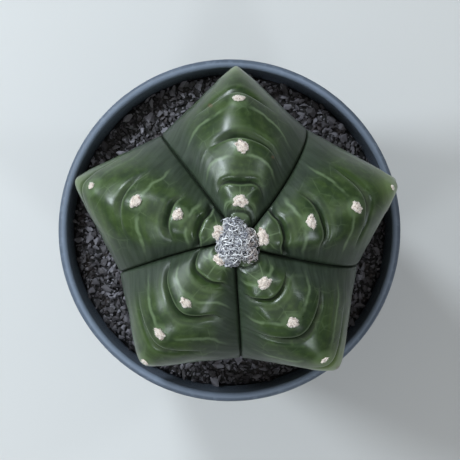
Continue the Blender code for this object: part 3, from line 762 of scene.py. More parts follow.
def valley_distance(along, rib, share):
    return (1 - np.abs(share)) * half_angle(rib, share) * (crest_radius_at(along) * OLD_VALLEY)


def valley_crease(along, rib, share):
    depth = VALLEY_CREASE_DEPTH * eased(along / VALLEY_CREASE_START)
    return depth * np.exp(-valley_distance(along, rib, share) / VALLEY_CREASE_WIDTH)


def outward(along, rib, share):
    """The direction in which relief stands. Beside a valley it turns to halfway between both ribs."""
    edge = np.where(share > 0, 1.0, -1.0)
    valley = skin_normal(along, rib, edge) + skin_normal(along, neighbour(rib, share), -edge)
    valley = valley / np.linalg.norm(valley, axis=-1, keepdims=True)
    near = np.exp(-valley_distance(along, rib, share) / VALLEY_EDGE)[..., None]
    normal = skin_normal(along, rib, share) * (1 - near) + valley * near
    return normal / np.linalg.norm(normal, axis=-1, keepdims=True)


# %% [markdown]
# Fine relief comes on top. Living skin is never a clean surface: it swells a little under each areole,
# ripples along the flanks in line with the furrows, and wanders everywhere. A sum of a few sine waves in
# fixed random directions is smooth, cheap and the same on every run, so it serves as the wandering.

# %% Fine relief of the skin
AREOLE_SET_BACK = (0.0, 0.0, 0.0047, 0.0029, 0.0029, 0.0029, 0.0029, 0.0, 0.0)
AREOLE_SHIFT = np.zeros((RIBS, 9, 2))
AREOLE_SHIFT[:, 2:6] = (
    ((0, 0), (0, -0.0008), (0, -0.0003), (0, 0)),
    ((0, 0), (-0.0007, -0.0011), (0.0014, -0.0010), (0.0018, -0.0008)),
    ((0.0016, 0), (0.0005, -0.0006), (0.0014, -0.0012), (0.0046, 0)),
    ((0, 0.0004), (0.0021, 0), (0.0012, 0), (0, 0)),
    ((0.0006, 0), (0, 0), (0.0009, -0.0007), (0.0032, 0)),
)
WAVES = 14
WAVE_LENGTHS = (0.0035, 0.0120)
WANDER_DEPTH = 0.00007
MOUND_HEIGHT = 0.00045
MOUND_RADIUS = 0.0024
RIPPLE_DEPTH = 0.00002
RIPPLE_LENGTH = 0.0034
VEIN_AHEAD = 0.0050
VEIN_HEIGHT = 0.00004
VEIN_WIDTH = 0.00035
RIPPLE_BAND = (0.35, 0.3, 0.8, 0.2)
VEIN_BAND = (0.0, 0.2, 0.6, 0.3)

waves_rng = np.random.default_rng(5)
WAVE_WAYS = waves_rng.normal(size=(WAVES, 3))
WAVE_WAYS /= np.linalg.norm(WAVE_WAYS, axis=1, keepdims=True)
WAVE_WAYS *= 2 * pi / waves_rng.uniform(*WAVE_LENGTHS, size=(WAVES, 1))
WAVE_STARTS = waves_rng.uniform(0, 2 * pi, size=WAVES)


def wander(points):
    """Smooth unevenness, about -1 to 1, over points in space."""
    return np.sin(points @ WAVE_WAYS.T + WAVE_STARTS).sum(axis=-1) / math.sqrt(WAVES)


def areole_distance(year, phase, rib, share):
    """How far a place lies from its plate's areole, across the rib and along it, in metres."""
    radius = crest_radius_at(row_along(year, phase, rib, share))
    across = share * half_angle(rib, share) * radius
    inwards, aside = np.moveaxis(AREOLE_SHIFT[rib, year + 1], -1, 0)
    return across - aside, AREOLE_SET_BACK[year + 1] + inwards - span_of(rib, year) * (1 - phase)


def band(side, start, rise, end, fall):
    """1 on a band of a flank, from start plus rise to end, eased at both sides."""
    return eased((side - start) / rise) * (1 - eased((side - end) / fall))


def fine_relief(year, phase, rib, share, points):
    across, beyond = areole_distance(year, phase, rib, share)
    span, side = span_of(rib, year), np.abs(share)
    relief = WANDER_DEPTH * wander(points)
    if AREOLE_SET_BACK[year + 1]:
        relief = relief + MOUND_HEIGHT * np.exp(-((across**2 + beyond**2) / MOUND_RADIUS**2))
        vein = np.exp(-(((span * (1 - phase) - VEIN_AHEAD) / VEIN_WIDTH) ** 2))
        relief = relief + VEIN_HEIGHT * vein * band(side, *VEIN_BAND)
        ripple = np.sin(2 * pi * span * phase / RIPPLE_LENGTH + 3 * share)
        relief = relief + RIPPLE_DEPTH * ripple * band(side, *RIPPLE_BAND)
    return relief


# %% The whole surface, and the plant's own measures
def skin_surface(year, phase, rib, share):
    along = row_along(year, phase, rib, share)
    points = skin_point(along, rib, share)
    out = plate_relief(year, phase, rib, share) - valley_crease(along, rib, share)
    out = out + fine_relief(year, phase, rib, share, points)
    normal = outward(along, rib, share)
    down = (skin_point(along + SMALL_STEP, rib, share) - points) / SMALL_STEP
    standing = above_burial(crest_height_at(along))
    shift = lip_shift(year, phase, rib, share) * standing
    return points + normal * (out * standing)[..., None] + down * shift[..., None]


def skin_measures(year, phase, rib, share):
    """What the finish needs to know of a place, in millimetres and in shares of a rib's half width."""
    span = span_of(rib, year) * 1000
    across, beyond = areole_distance(year, phase, rib, share)
    side = np.abs(share)
    to_valley = valley_distance(row_along(year, phase, rib, share), rib, share)
    behind, front = (furrow_force(number, rib, share) for number in (year, year + 1))
    return {
        "furrow_mm": np.stack([span * phase, span * (1 - phase), to_valley * 1000], axis=-1),
        "plate_mm": np.stack([across * 1000, beyond * 1000, np.full(side.shape, float(year))], axis=-1),
        "force": np.stack([behind, front, side], axis=-1),
    }


# %% The skin as a mesh, with those measures stored on its corners
PLATE_ROWS = 32
CROWN_ROWS = 14
BASE_ROWS = 20
ROOT_ROWS = 6
RIB_COLUMNS = 72
CROWDING = 0.90
COLUMN_CROWDING = 0.84
ROOT_CROWDING = 0.5


def crowded(count, crowding):
    """Steps from 0 to 1 that lie closer together near both ends."""
    share = np.arange(count + 1) / count
    return share - crowding * np.sin(2 * pi * share) / (2 * pi)


def stem_skin():
    half = crowded(RIB_COLUMNS // 2, COLUMN_CROWDING)
    shares = np.concatenate([half - 1, half[1:]])
    rib, share = np.meshgrid(np.arange(RIBS), shares, indexing="ij")
    counts = [CROWN_ROWS] + [PLATE_ROWS] * 5 + [BASE_ROWS, ROOT_ROWS]
    points, measures = [], {}
    for year, count in enumerate(counts):
        phases = crowded(count, CROWDING if year < BASE_YEAR else ROOT_CROWDING)
        for number, (phase, next_phase) in enumerate(zip(phases, phases[1:])):
            if year == 0 and number == 0:
                continue
            points.append(skin_surface(year, phase, rib, share)[:, :-1].reshape(-1, 3))
            upper, lower = (skin_measures(year, edge, rib, share) for edge in (phase, next_phase))
            for name in upper:
                corners = (upper[name][:, :-1], lower[name][:, :-1], lower[name][:, 1:], upper[name][:, 1:])
                measures.setdefault(name, []).append(np.stack(corners, axis=2).reshape(-1, 3))
    ring, rings = len(points[0]), len(points)
    index = np.arange(ring * rings).reshape(rings, ring)
    after = np.roll(index, -1, axis=1)
    quads = np.stack([index[:-1], index[1:], after[1:], after[:-1]], axis=-1).reshape(-1, 4).tolist()
    top, tip = ring * rings, ring * rings + 1
    quads += [(top, i, j) for i, j in zip(index[0], after[0])]
    quads += [(tip, j, i) for i, j in zip(index[-1], after[-1])]
    ends = [crest_point(0.0), crest_point(CREST_END)]
    mesh = bpy.data.meshes.new("stem_skin")
    mesh.from_pydata(np.concatenate([*points, ends]), [], quads)
    for name, kept in measures.items():
        values = np.concatenate([*kept[:-1], np.zeros((6 * ring, 3))]).astype(np.float32)
        mesh.attributes.new(name, "FLOAT_VECTOR", "CORNER").data.foreach_set("vector", values.ravel())
    mesh.shade_smooth()
    return new_object("stem_skin", mesh)


stem = stem_skin()

# %% [markdown]
# The skin's finish reads those measures, so every mark follows the plant. A pale line runs down both
# flanks from the inner side of each areole, a painted highlight lines each plate's lip, fine veins net the
# plates and the youngest ones have rays. Painted shade darkens the furrows, the creases, the youngest
# plates and the flanks, which are also greyer, and the tips of the ribs turn yellow-green. Low down the
# skin is painted lighter as painted light. Wax makes it satin, with duller patches, so the roughness moves
# as well.

# %% The skin's finish
SCARS = ((-5.3, 34.3, 1.3), (11.8, 19.8, 0.8), (30.3, -38.5, 1.3))
SCAR_HEIGHTS = (101.0, 102.0)
RAYS = 7


def skin_ground(place, height, past, across, year, side):
    """The mottled green of the skin and the mask of the flanks. The flanks turn greyer, and darker with
    painted shade; low down the skin is painted lighter, a painted light that lifts the shade there.
    """
    grain, patches = grain_at(place, 3.0, 0.14)
    green = mixed(rising(patches, 0.36, 0.66), (39, 54, 29), (57, 75, 36))
    green = mixed(rising(noise(place, 0.55, 4.0), 0.45, 0.75) * 0.6, green, (72, 91, 52))
    green = mixed(rising(grain, 0.45, 0.8) * 0.3, green, (38, 53, 36))
    streaks = noise(output("ShaderNodeCombineXYZ", {0: past, 1: across * 0.10, 2: year}), 0.8, 3.0)
    green = mixed(rising(streaks, 0.42, 0.68) * 0.4, green, (38, 52, 37))
    flank = rising(side, 0.40, 0.80)
    # The flanks turn greyer, which is the skin's own, and darker, which is partly painted shade.
    grey = mixed(rising(streaks, 0.35, 0.6), (37, 46, 38), (51, 61, 51))
    green = mixed(flank * 0.8, green, grey)
    # Painted light: lower down the stem the skin is painted lighter, to lift the shade on its low sides.
    low = falling(height, 94.0, 108.0) * 0.6
    green = mixed(low, green, mixed(streaks, (66, 84, 56), (98, 114, 78)))
    return green, flank, grain, patches


def skin_finish():
    material, tree, shader = new_material("green_skin", (70, 90, 60))
    place = millimetres(tree)
    x, y, height = parts_of(place)
    past, ahead, valley = parts_of(attribute(tree, "furrow_mm"))
    across, beyond, year = parts_of(attribute(tree, "plate_mm"))
    behind, front, side = parts_of(attribute(tree, "force"))
    green, flank, grain, patches = skin_ground(place, height, past, across, year, side)

    sway = noise(place, 0.11, 2.0) * 3.0 + noise(place, 0.5, 3.0) - 2.0
    arc = line_at(ahead + sway, 5.0, 0.85) * rising(side, 0.06, 0.25) * falling(side, 0.55, 0.9)
    arc = arc * rising(noise(place, 0.22, 2.0), 0.22, 0.50) * falling(year, 3.3, 4.5)
    # Painted highlights: a pale line on the edge of each plate's lip, and a fainter one about 3 mm beyond
    # each furrow.
    lip = highest(line_at(ahead, 0.75, 0.45) * front * 0.7, line_at(past, 3.1, 0.9) * behind * 0.2)
    cells = output("ShaderNodeTexVoronoi", {"Vector": place, "Scale": 0.20}, "Distance",
                   feature="DISTANCE_TO_EDGE")
    net = falling(cells, 0.0, 0.05) * falling(side, 0.55, 0.85) * rising(noise(place, 0.15, 2.0), 0.40, 0.65)
    reach = distance_of(across, beyond)
    turn = calculate("ARCTAN2", across, beyond) * (RAYS / (2 * pi))
    from_ray = (turn - calculate("ROUND", turn)) * reach * (2 * pi / RAYS)
    rays = line_at(from_ray, 0.0, 0.30) * falling(year, 1.3, 1.7) * falling(reach, 3.5, 7.5)
    green = mixed(highest(arc, lip, net * 0.30, rays * 0.8) * 0.5, green, (122, 141, 106))

    # Painted shade: the youngest plates, tucked beside the crown wool, are painted dark green.
    green = mixed(falling(year, 0.3, 0.7) * 0.85, green, (27, 39, 24))
    halo = falling(reach, 1.8, 3.2)
    green = mixed(halo * 0.35, green, (108, 128, 92))
    tip = rising(distance_of(x, y), 41.0, 48.5) * falling(side, 0.05, 0.45)
    green = mixed(tip * 0.6, green, (126, 147, 86))

    # Painted shade: a darker band beyond each furrow, along each valley and inside each plate's lip.
    beside = highest(falling(past, 0.6, 2.8) * behind * 0.65, falling(valley, 0.1, 0.9) * 0.45,
                     line_at(ahead, 1.9, 1.2) * front * 0.35)
    green = mixed(beside * 0.5, green, (28, 43, 25))
    # Painted shade: the floors of furrows and valley creases are painted nearly black-green, less on older
    # plates.
    painted_crease_shade = highest(falling(ahead, 0.15, 0.40) * front, falling(past, 0.3, 1.0) * behind,
                    falling(valley, 0.02, 0.16)) * (1.0 - rising(year, 2.4, 4.2) * 0.65)
    green = mixed(painted_crease_shade * 0.68, green, (14, 25, 12))
    for east, north, size in SCARS:
        length = distance_of(x - east, y - north) + noise(place, 2.0) * 0.8 - 0.4
        scar = falling(length, 0.4 * size, 0.6 * size) * rising(height, *SCAR_HEIGHTS)
        green = mixed(scar * 0.6, green, (94, 74, 50))

    fill(shader, {
        "Base Color": green, "Roughness": patches * 0.16 + 0.23 + flank * 0.14 + painted_crease_shade * 0.4,
        "Normal": bumps(grain, 0.00003, 0.4), "Specular IOR Level": 0.44})
    return material


stem.data.materials.append(skin_finish())
finished(stem, "stem", "cactus_stem")

# %% [markdown]
# ## Hairs
# Felt and wool are made of hairs, but a hair of true thickness would vanish in the picture, so each
# modelled one stands for a small bundle. It is a thin tube along a curved path, with three sides for the
# felt's short hairs and five for the wool's locks. A few different ones are enough, because the
# scattering tree turns and sizes every copy in its own way.

# %% Locks of wool and short hairs
HAIR_SIDES = 3
HAIR_STEPS = 4
LOCK_SIDES = 5
LOCK_STEPS = 13


def tube(x, y, z, radius, sides):
    """A thin tube along a path, closed to a point at both ends."""
    path = [Vector(place) for place in zip(x, y, z)]
    verts, faces = [path[0]], []
    for before, here, after in zip(path, path[1:], path[2:]):
        way = (after - before).normalized()
        out = way.orthogonal().normalized()
        for side in range(sides):
            verts.append(here + Matrix.Rotation(2 * pi * side / sides, 3, way) @ out * radius)
    verts.append(path[-1])
    last = len(verts) - 1
    for side in range(sides):
        beside = (side + 1) % sides
        faces.append((0, 1 + beside, 1 + side))
        faces.append((last, last - sides + side, last - sides + beside))
        for start in range(1, last - sides, sides):
            faces.append((start + side, start + beside, start + sides + beside, start + sides + side))
    mesh = bpy.data.meshes.new("lock")
    mesh.from_pydata(verts, [], faces)
    mesh.shade_smooth()
    return mesh


def curled_lock(rng, length, radius):
    """A lock that leaves the felt, winds over it and comes back down."""
    turns, phase = rng.uniform(0.5, 1.3), rng.uniform(0, 2 * pi)
    swing, lift = length * rng.uniform(0.15, 0.34), length * rng.uniform(0.14, 0.30)
    share = np.linspace(0, 1, LOCK_STEPS)
    y = swing * np.sin(2 * pi * turns * share + phase)
    z = lift * np.sin(pi * share) ** 0.7 - 0.1 * length
    return tube(length * (share - 0.5), y, z, radius, LOCK_SIDES)


def looped_lock(rng, length, radius):
    """A lock that winds round on itself."""
    angle = np.linspace(0, 2 * pi * rng.uniform(0.6, 0.95), LOCK_STEPS)
    size = length * rng.uniform(0.20, 0.30)
    lift = length * rng.uniform(0.15, 0.25) * np.sin(np.linspace(0, pi, LOCK_STEPS)) ** 0.7
    return tube(size * np.cos(angle), 1.3 * size * np.sin(angle), lift - 0.1 * length, radius, LOCK_SIDES)


def felt_hair(rng, length, radius):
    """A short hair that stands up and bends over."""
    share = np.linspace(0, 1, HAIR_STEPS)
    lean, curl = rng.uniform(0.3, 0.9), rng.uniform(-0.3, 0.3)
    x, y = length * lean * share**1.8, length * curl * np.sin(pi * share)
    return tube(x, y, length * (share - 0.15) * (1.1 - 0.5 * share), radius, HAIR_SIDES)


# %% [markdown]
# ## The areoles
# An areole is a cushion of felt where a cactus could grow its spines. This kind has none, only felt.
# Each sits near the crest, inside a furrow, a little wider across the rib than along it, with an uneven
# edge. The pads are small lumpy domes seated on the computed skin, and short hairs cover them.

# %% The seats of the areoles
AREOLE_HALF_SIZES = (
    ((0.0018, 0.0017), (0.0017, 0.0016), (0.0015, 0.0009)),
    ((0.0020, 0.0014), (0.0017, 0.0012), (0.0016, 0.0015), (0.0010, 0.0007)),
    ((0.0017, 0.0014), (0.0016, 0.0011), (0.0016, 0.0011), (0.0011, 0.0006)),
    ((0.0019, 0.0014), (0.0016, 0.0013), (0.0010, 0.0006)),
    ((0.0021, 0.0014), (0.0020, 0.0011), (0.0016, 0.0012), (0.0007, 0.0005)),
)
WORN_HALF_SIZE = (0.0010, 0.0008)
AREOLE_ABOVE_GRIT = 0.0040
CROWN_WOOL_CENTRE = (0.0020, -0.0031)
CROWN_WOOL_CLEARANCE = 0.0050


def areole_seats():
    """Each areole's place on the skin, the directions down the rib and outwards, and its half sizes."""
    for rib in range(RIBS):
        sizes = list(AREOLE_HALF_SIZES[rib])
        for year in range(1, BASE_YEAR):
            set_back = AREOLE_SET_BACK[year + 1]
            if not set_back:
                continue
            inwards, aside = AREOLE_SHIFT[rib, year + 1]
            phase = 1 - (set_back + inwards) / span_of(rib, year)
            along = FURROWS[rib, year + 1] - set_back - inwards
            ribs = np.array([rib])
            shares = aside / (half_angle(ribs, np.array([aside])) * crest_radius_at(along))
            place = skin_surface(year, phase, ribs, shares)[0]
            further = skin_surface(year, phase + 0.02, ribs, shares)[0]
            wool_distance = math.dist(place[:2], CROWN_WOOL_CENTRE)
            if wool_distance < CROWN_WOOL_CLEARANCE or place[2] < GRIT_LEVEL + AREOLE_ABOVE_GRIT:
                continue
            out = Vector(skin_normal(np.array([along]), ribs, shares)[0])
            down = Vector(further - place)
            down = (down - out * down.dot(out)).normalized()
            yield Vector(place), down, out, sizes.pop(0) if sizes else WORN_HALF_SIZE


# %% The pads of the areoles
AREOLE_HEIGHT = 0.00085
FULL_HALF_LENGTH = 0.0013
PAD_EDGE_WAVES = ((2, 0.08), (3, 0.08), (5, 0.06), (8, 0.04))
PAD_BASE = 0.00002
PAD_LUMPS, PAD_PITS = 0.16, 0.14


def areole_pad(seat, rng):
    place, down, out, (half_across, half_down) = seat
    shape = bmesh.new()
    bmesh.ops.create_icosphere(shape, subdivisions=4, radius=1.0)
    starts = [rng.uniform(0, 2 * pi) for _ in PAD_EDGE_WAVES]
    for vert in shape.verts:
        angle = math.atan2(vert.co.y, vert.co.x)
        edge = 1.0
        for (waves, depth), start in zip(PAD_EDGE_WAVES, starts):
            edge += depth * sin(waves * angle + start)
        vert.co.x *= edge
        vert.co.y *= edge
        vert.co *= 1 + PAD_LUMPS * sin(5 * vert.co.x + starts[1]) * sin(4.5 * vert.co.y + starts[2])
        vert.co.z *= 1 + PAD_PITS * sin(8 * vert.co.x + starts[3]) * sin(9 * vert.co.y + starts[0])
    axes = Matrix((down.cross(out), down, out)).transposed().to_4x4()
    height = AREOLE_HEIGHT * min(half_down / FULL_HALF_LENGTH, 1.0)
    shape.transform(Matrix.Translation(place) @ axes @ Matrix.Diagonal((half_across, half_down, height, 1)))
    mesh = mesh_of("pad", shape)
    set_cover(mesh, [1.0 if (vert.co - place).dot(out) > PAD_BASE else 0.0 for vert in mesh.vertices])
    return new_object("pad", mesh)


areoles_rng = random.Random(3)
seats = list(areole_seats())
pads = joined("areole_pads", [areole_pad(seat, areoles_rng) for seat in seats])
pads.data.shade_smooth()
print(len(seats), "areoles")

# %% The felt's finish, and the hairs on the pads
def felt_finish(name, dark, light, stain, stain_share, weathered=0.0):
    """Hair that varies from lock to lock, with stained flecks and, if weathered, tan on its right side."""
    material, tree, shader = new_material(name, light)
    place = millimetres(tree)
    colour = mixed(attribute(tree, "shade", "Fac"), dark, light)
    flecks = rising(noise(place, 1.3, 3.0), 0.68 - stain_share, 0.74 - stain_share)
    colour = mixed(flecks * 0.6, colour, stain)
    if weathered:
        x, y, z = parts_of(place)
        tan = rising(x, 3.8, 6.4) * weathered * rising(noise(place, 0.7, 2.0), 0.35, 0.60)
        colour = mixed(tan, colour, (176, 152, 138))
    fill(shader, {"Base Color": colour, "Roughness": 0.8, "Sheen Weight": 0.25})
    return material


CREAM_FELT = felt_finish("cream_felt", (232, 220, 210), (255, 251, 246), (156, 122, 98), 0.09)
FELT_BASE = felt_finish("felt_base", (222, 208, 196), (242, 232, 222), (132, 100, 80), 0.10)
hair_rng = random.Random(8)
FELT_HAIRS = shape_collection("felt_hairs", [felt_hair(hair_rng, 0.00042, 0.000032) for _ in range(10)])
areole_hairs = scattered(
    "areole_hairs", pads.data.copy(), Shapes=FELT_HAIRS, Density=8.0e7, Spacing=0.00008, Smallest=0.6,
    Largest=1.3, Tilt=1.0, Seed=4, Finish=CREAM_FELT)
pads.data.materials.append(FELT_BASE)
finished(pads, "stem")
finished(areole_hairs, "stem")

# %% [markdown]
# ## The woolly crown
# The growing point hides under wool: several lobes of grey-white curls with dark gaps between them. The
# lobes are lumpy balls painted near black as painted shade in the gaps, and curled and looped locks lie all
# over them.

# %% The lobes under the wool
CROWN_WOOL_LIFT = 0.0010
CROWN_WOOL_LOBES = (
    (-0.0008, 0.0032, 0.0030),
    (0.0019, 0.0004, 0.0031),
    (-0.0018, -0.0030, 0.0034),
    (0.0032, -0.0032, 0.0021),
    (-0.0026, 0.0006, 0.0021),
)
CROWN_CORE_SHARE = 0.90
LOBE_UNEVENNESS = 0.05
LOBE_FINENESS = 3.0
BARE_BELOW = 0.35


def wool_lobe(place, radius):
    shape = bmesh.new()
    bmesh.ops.create_icosphere(shape, subdivisions=4, radius=radius * CROWN_CORE_SHARE)
    for vert in shape.verts:
        vert.co *= 1 + LOBE_UNEVENNESS * float(wander(np.array(vert.co + place) * LOBE_FINENESS))
        vert.co += place
    mesh = mesh_of("lobe", shape)
    set_cover(mesh, [1.0 if vert.co.z > place.z - BARE_BELOW * radius else 0.0 for vert in mesh.vertices])
    return new_object("lobe", mesh)


crown_centre = Vector((*CROWN_WOOL_CENTRE, float(crest_point(0.0)[2]) + CROWN_WOOL_LIFT))
wool_core = joined(
    "crown_wool_core",
    [wool_lobe(crown_centre + Vector((east, north, 0)), radius) for east, north, radius in CROWN_WOOL_LOBES])
wool_core.data.shade_smooth()

# %% The curls on them
LOCK_RADIUS = 0.000115
WOOL = felt_finish("grey_wool", (90, 94, 112), (255, 255, 255), (66, 64, 74), 0.08, weathered=0.7)
# Painted shade: the lobes under the locks are near black, standing for the shade in the gaps between curls.
WOOL_GAP_SHADE = felt_finish("painted_shade_wool_gaps", (14, 15, 20), (30, 31, 40), (12, 11, 13), 0.05)
locks_rng = random.Random(21)
LOCKS = shape_collection(
    "wool_locks",
    [curled_lock(locks_rng, 0.0040, LOCK_RADIUS) for _ in range(8)]
    + [looped_lock(locks_rng, 0.0048, LOCK_RADIUS) for _ in range(6)])
locks = scattered(
    "crown_wool_locks", wool_core.data.copy(), Shapes=LOCKS, Density=1.2e7, Spacing=0.00042, Smallest=0.5,
    Largest=1.15, Tilt=0.45, Seed=12, Finish=WOOL)
wool_core.data.materials.append(WOOL_GAP_SHADE)
finished(wool_core, "wool", "crown_wool")
finished(locks, "wool")

# %% [markdown]
# ## The grit
# The pot is filled with a dry dark mix of angular chips, 1 to 4 mm long. Chips are convex, so each
# shape is the hull of a few random points in a long flat box. The scattering tree strews three layers of
# them, tilted every way, over a rough bed painted near black as painted shade between the chips, and they
# reach the pot's wall.

# %% The bed under the chips
GRIT_MOUND = 0.0012
GRIT_EDGE = 0.0010
SEAT_GAP = 0.0003
BED_DROP = 0.0012
BED_ROUGHNESS = 0.00035
BED_FINENESS = 2.2
UNDER_STEM = 0.002


def stem_footprint():
    """Directions and distances, from the stem's centre, of its outline at the level of the grit."""
    across = np.linspace(-1, 1, 41)
    outline = [skin_point(GRIT_ALONG, np.array(rib), across) for rib in range(RIBS)]
    outline = np.concatenate(outline)[:, :2] - STEM_CENTRE
    turns = np.arctan2(outline[:, 1], outline[:, 0])
    order = np.argsort(turns)
    return turns[order], np.hypot(outline[:, 0], outline[:, 1])[order]


def grit_bed():
    """A column that fills the pot, its top rough and a little below the chips."""
    top, bottom = GRIT_LEVEL - BED_DROP, POT_FLOOR + SEAT_GAP
    heights = (top - GRIT_EDGE, POT_FLOOR + FLOOR_CORNER)
    wall = [(pot_inner_radius(height) - SEAT_GAP, height) for height in heights]
    rim = wall[0][0] - GRIT_EDGE
    inner = [(rim * share, top + GRIT_MOUND * (1 - share)) for share in np.linspace(0, 1, 40)]
    bed = turned("grit_bed", [*inner, *wall, (wall[1][0] - FLOOR_CORNER, bottom), (0.0, bottom)], POT_STEPS)
    turns, reaches = stem_footprint()
    cover = []
    for vert in bed.data.vertices:
        x, y, z = vert.co
        on_top = z > top - GRIT_EDGE / 2
        if on_top:
            vert.co.z += BED_ROUGHNESS * float(wander(np.array((x, y, z)) * BED_FINENESS))
        east, north = x - STEM_CENTRE[0], y - STEM_CENTRE[1]
        reach = np.interp(math.atan2(north, east), turns, reaches, period=2 * pi)
        cover.append(1.0 if on_top and math.hypot(east, north) > reach - UNDER_STEM else 0.0)
    set_cover(bed.data, cover)
    bed.data.shade_smooth()
    return bed


bed = grit_bed()

# %% Chips of stone
CHIP_CORNERS = 11
CHIP_LENGTH = 0.0040
CHIP_SHAPES = 12
WALL_GAP = 0.0001


def stone_chip(rng, length):
    wide, thick = rng.uniform(0.45, 0.85), rng.uniform(0.30, 0.55)
    shape = bmesh.new()
    for _ in range(CHIP_CORNERS):
        way = Vector((rng.gauss(0, 1), rng.gauss(0, 1), rng.gauss(0, 1))).normalized()
        way *= rng.uniform(0.75, 1.0) * length / 2
        shape.verts.new((way.x, way.y * wide, way.z * thick))
    hull = bmesh.ops.convex_hull(shape, input=shape.verts)
    loose = [item for item in hull["geom_interior"] if isinstance(item, bmesh.types.BMVert)]
    bmesh.ops.delete(shape, geom=loose, context="VERTS")
    return mesh_of("chip", shape)


def keep_inside_wall(mesh):
    """Pushes back the corners of chips that would go into the pot's wall."""
    for vert in mesh.vertices:
        limit = pot_inner_radius(vert.co.z) - WALL_GAP
        reach = math.hypot(vert.co.x, vert.co.y)
        if reach > limit:
            vert.co.x *= limit / reach
            vert.co.y *= limit / reach


def grit_finish(name, dark, light):
    """Dark stone: each chip has its own shade from black to grey or brown, dusty and rough."""
    material, tree, shader = new_material(name, light)
    place = millimetres(tree)
    grain, patches = grain_at(place, 4.5, 0.8)
    colour = mixed(rising(attribute(tree, "shade", "Fac"), 0.10, 0.95), dark, light)
    colour = mixed(rising(noise(place, 0.35, 2.0), 0.55, 0.7) * 0.45, colour, (66, 56, 54))
    colour = mixed(rising(patches, 0.5, 0.8) * 0.35, colour, light)
    fill(shader, {
        "Base Color": colour, "Roughness": grain * 0.25 + 0.55, "Normal": bumps(grain, 0.00012, 0.9)})
    return material


# %% Three layers of chips: density, spacing, smallest and largest share, tilt, seed and lift of each
LAYERS = {
    "fine": (4.0e6, 0.0009, 0.30, 0.55, 0.9, 47, 0.0001),
    "medium": (2.0e6, 0.0017, 0.45, 0.80, 0.7, 53, 0.0006),
    "coarse": (9.0e5, 0.0025, 0.65, 1.10, 0.5, 31, 0.0010),
}
STONE = grit_finish("dark_stone", (58, 55, 58), (116, 114, 121))
chips_rng = random.Random(17)
CHIPS = shape_collection("stone_chips", [stone_chip(chips_rng, CHIP_LENGTH) for _ in range(CHIP_SHAPES)])
layers = []
for name, (density, spacing, smallest, largest, tilt, seed, lift) in LAYERS.items():
    layer = scattered(name, bed.data.copy(), Shapes=CHIPS, Density=density, Spacing=spacing,
                      Smallest=smallest, Largest=largest, Tilt=tilt, Seed=seed, Finish=STONE)
    layer.data.transform(Matrix.Translation((0, 0, lift)))
    keep_inside_wall(layer.data)
    layers.append(layer)
    print(f"{name} chips: {len(layer.data.polygons)} faces")
chips = joined("grit_chips", layers, STONE)
# Painted shade: the bed under the chips is near black, standing for the shade in the gaps between them.
bed.data.materials.append(grit_finish("painted_shade_under_chips", (18, 17, 18), (34, 32, 33)))
finished(bed, "grit", "grit_fill")
finished(chips, "grit")

# %% [markdown]
# ## Floor, light and camera
# The camera looks straight down from about half a metre above the rim, as in the photograph. Several
# soft boxes stand round the plant at about 45 degrees, because each rib shows its own bluish highlight.
# The floor is plain and pale.

# %% The floor
FLOOR_REACH = 6.0
FLOOR_DROP = 0.0001


def floor_finish():
    """Pale and matt. Far from the pot, out of the lamps' reach, a faint glow keeps it as pale as the room."""
    material, tree, shader = new_material("pale_floor", (206, 206, 204))
    place = millimetres(tree)
    far = rising(output("ShaderNodeVectorMath", {0: place}, "Value", operation="LENGTH"), 300.0, 1600.0)
    fill(shader, {
        "Base Color": mixed(noise(place, 0.004, 3.0), (202, 202, 200), (210, 210, 209)),
        "Emission Color": mixed(far, (0, 0, 0), (190, 193, 197)),
        "Emission Strength": 1.0, "Roughness": 0.75})
    return material


ends = (-FLOOR_REACH, FLOOR_REACH)
floor_mesh = bpy.data.meshes.new("floor")
floor_mesh.from_pydata([(x, y, -FLOOR_DROP) for y in ends for x in ends], [], [(0, 1, 3, 2)])
floor = new_object("floor", floor_mesh, floor_finish())

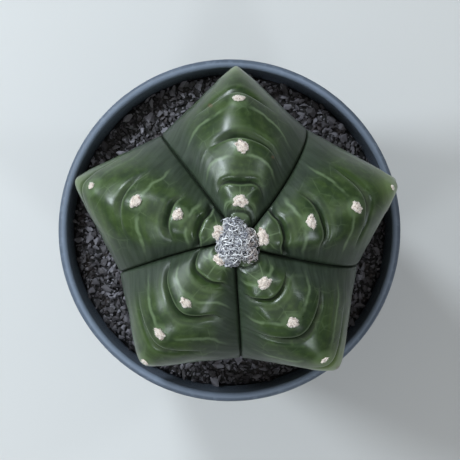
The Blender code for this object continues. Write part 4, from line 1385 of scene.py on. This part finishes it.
# %% The lights: azimuth and elevation in degrees, size and power of each soft box
AIM = Vector((0.0, 0.0, 0.105))
BOX_DISTANCE = 0.70
COOL, NEUTRAL = (0.84, 0.93, 1.0), (1.0, 0.98, 0.95)
SOFT_BOXES = {
    "left_box": (163, 41, 0.15, 3.1),
    "upper_box": (123, 42, 0.12, 2.8),
    "right_box": (18, 45, 0.08, 0.44),
    "lower_right_box": (305, 42, 0.09, 0.85),
    "lower_left_box": (234, 45, 0.09, 0.80),
}
OVERHEAD_POWER = 0.60
OVERHEAD_SPREAD = 70
ROOM_TO_EYE = 0.80
ROOM_TO_OBJECT = 0.09

for name, (azimuth, elevation, size, power) in SOFT_BOXES.items():
    lamp_data = bpy.data.lights.new(name, "AREA")
    lamp_data.shape = "DISK"
    lamp_data.size = size
    lamp_data.energy = power
    lamp_data.color = COOL
    lamp = new_object(name, lamp_data)
    turn, rise = radians(azimuth), radians(elevation)
    way = Vector((cos(turn) * cos(rise), sin(turn) * cos(rise), sin(rise)))
    lamp.location = AIM + way * BOX_DISTANCE
    lamp.rotation_mode = "QUATERNION"
    lamp.rotation_quaternion = way.to_track_quat("Z", "Y")

sky_data = bpy.data.lights.new("overhead", "SUN")
sky_data.energy = OVERHEAD_POWER
sky_data.angle = radians(OVERHEAD_SPREAD)
sky_data.color = NEUTRAL
new_object("overhead", sky_data).location = AIM + Vector((0, 0, 1))
print(len(SOFT_BOXES), "soft boxes and an overhead light")

world = bpy.data.worlds.new("pale_room")
world.use_nodes = True
seen = output("ShaderNodeLightPath", socket="Is Camera Ray", tree=world.node_tree)
fill(world.node_tree.nodes["Background"], {
    "Strength": seen * (ROOM_TO_EYE - ROOM_TO_OBJECT) + ROOM_TO_OBJECT, "Color": paint(226, 229, 233)})
SCENE.world = world
SCENE.view_settings.view_transform = "Standard"

# %% The camera
PHOTO_PIXELS = 460
FOCAL_PIXELS = 1714.7
SENSOR_WIDTH = 36.0
CAMERA_PLACE = (0.00015, 0.00009, 0.588)

camera_data = bpy.data.cameras.new("camera")
camera_data.sensor_width = SENSOR_WIDTH
camera_data.lens = SENSOR_WIDTH * FOCAL_PIXELS / PHOTO_PIXELS
camera = new_object("camera", camera_data)
camera.location = CAMERA_PLACE
SCENE.camera = camera
print(f"lens {camera_data.lens:.1f} mm")
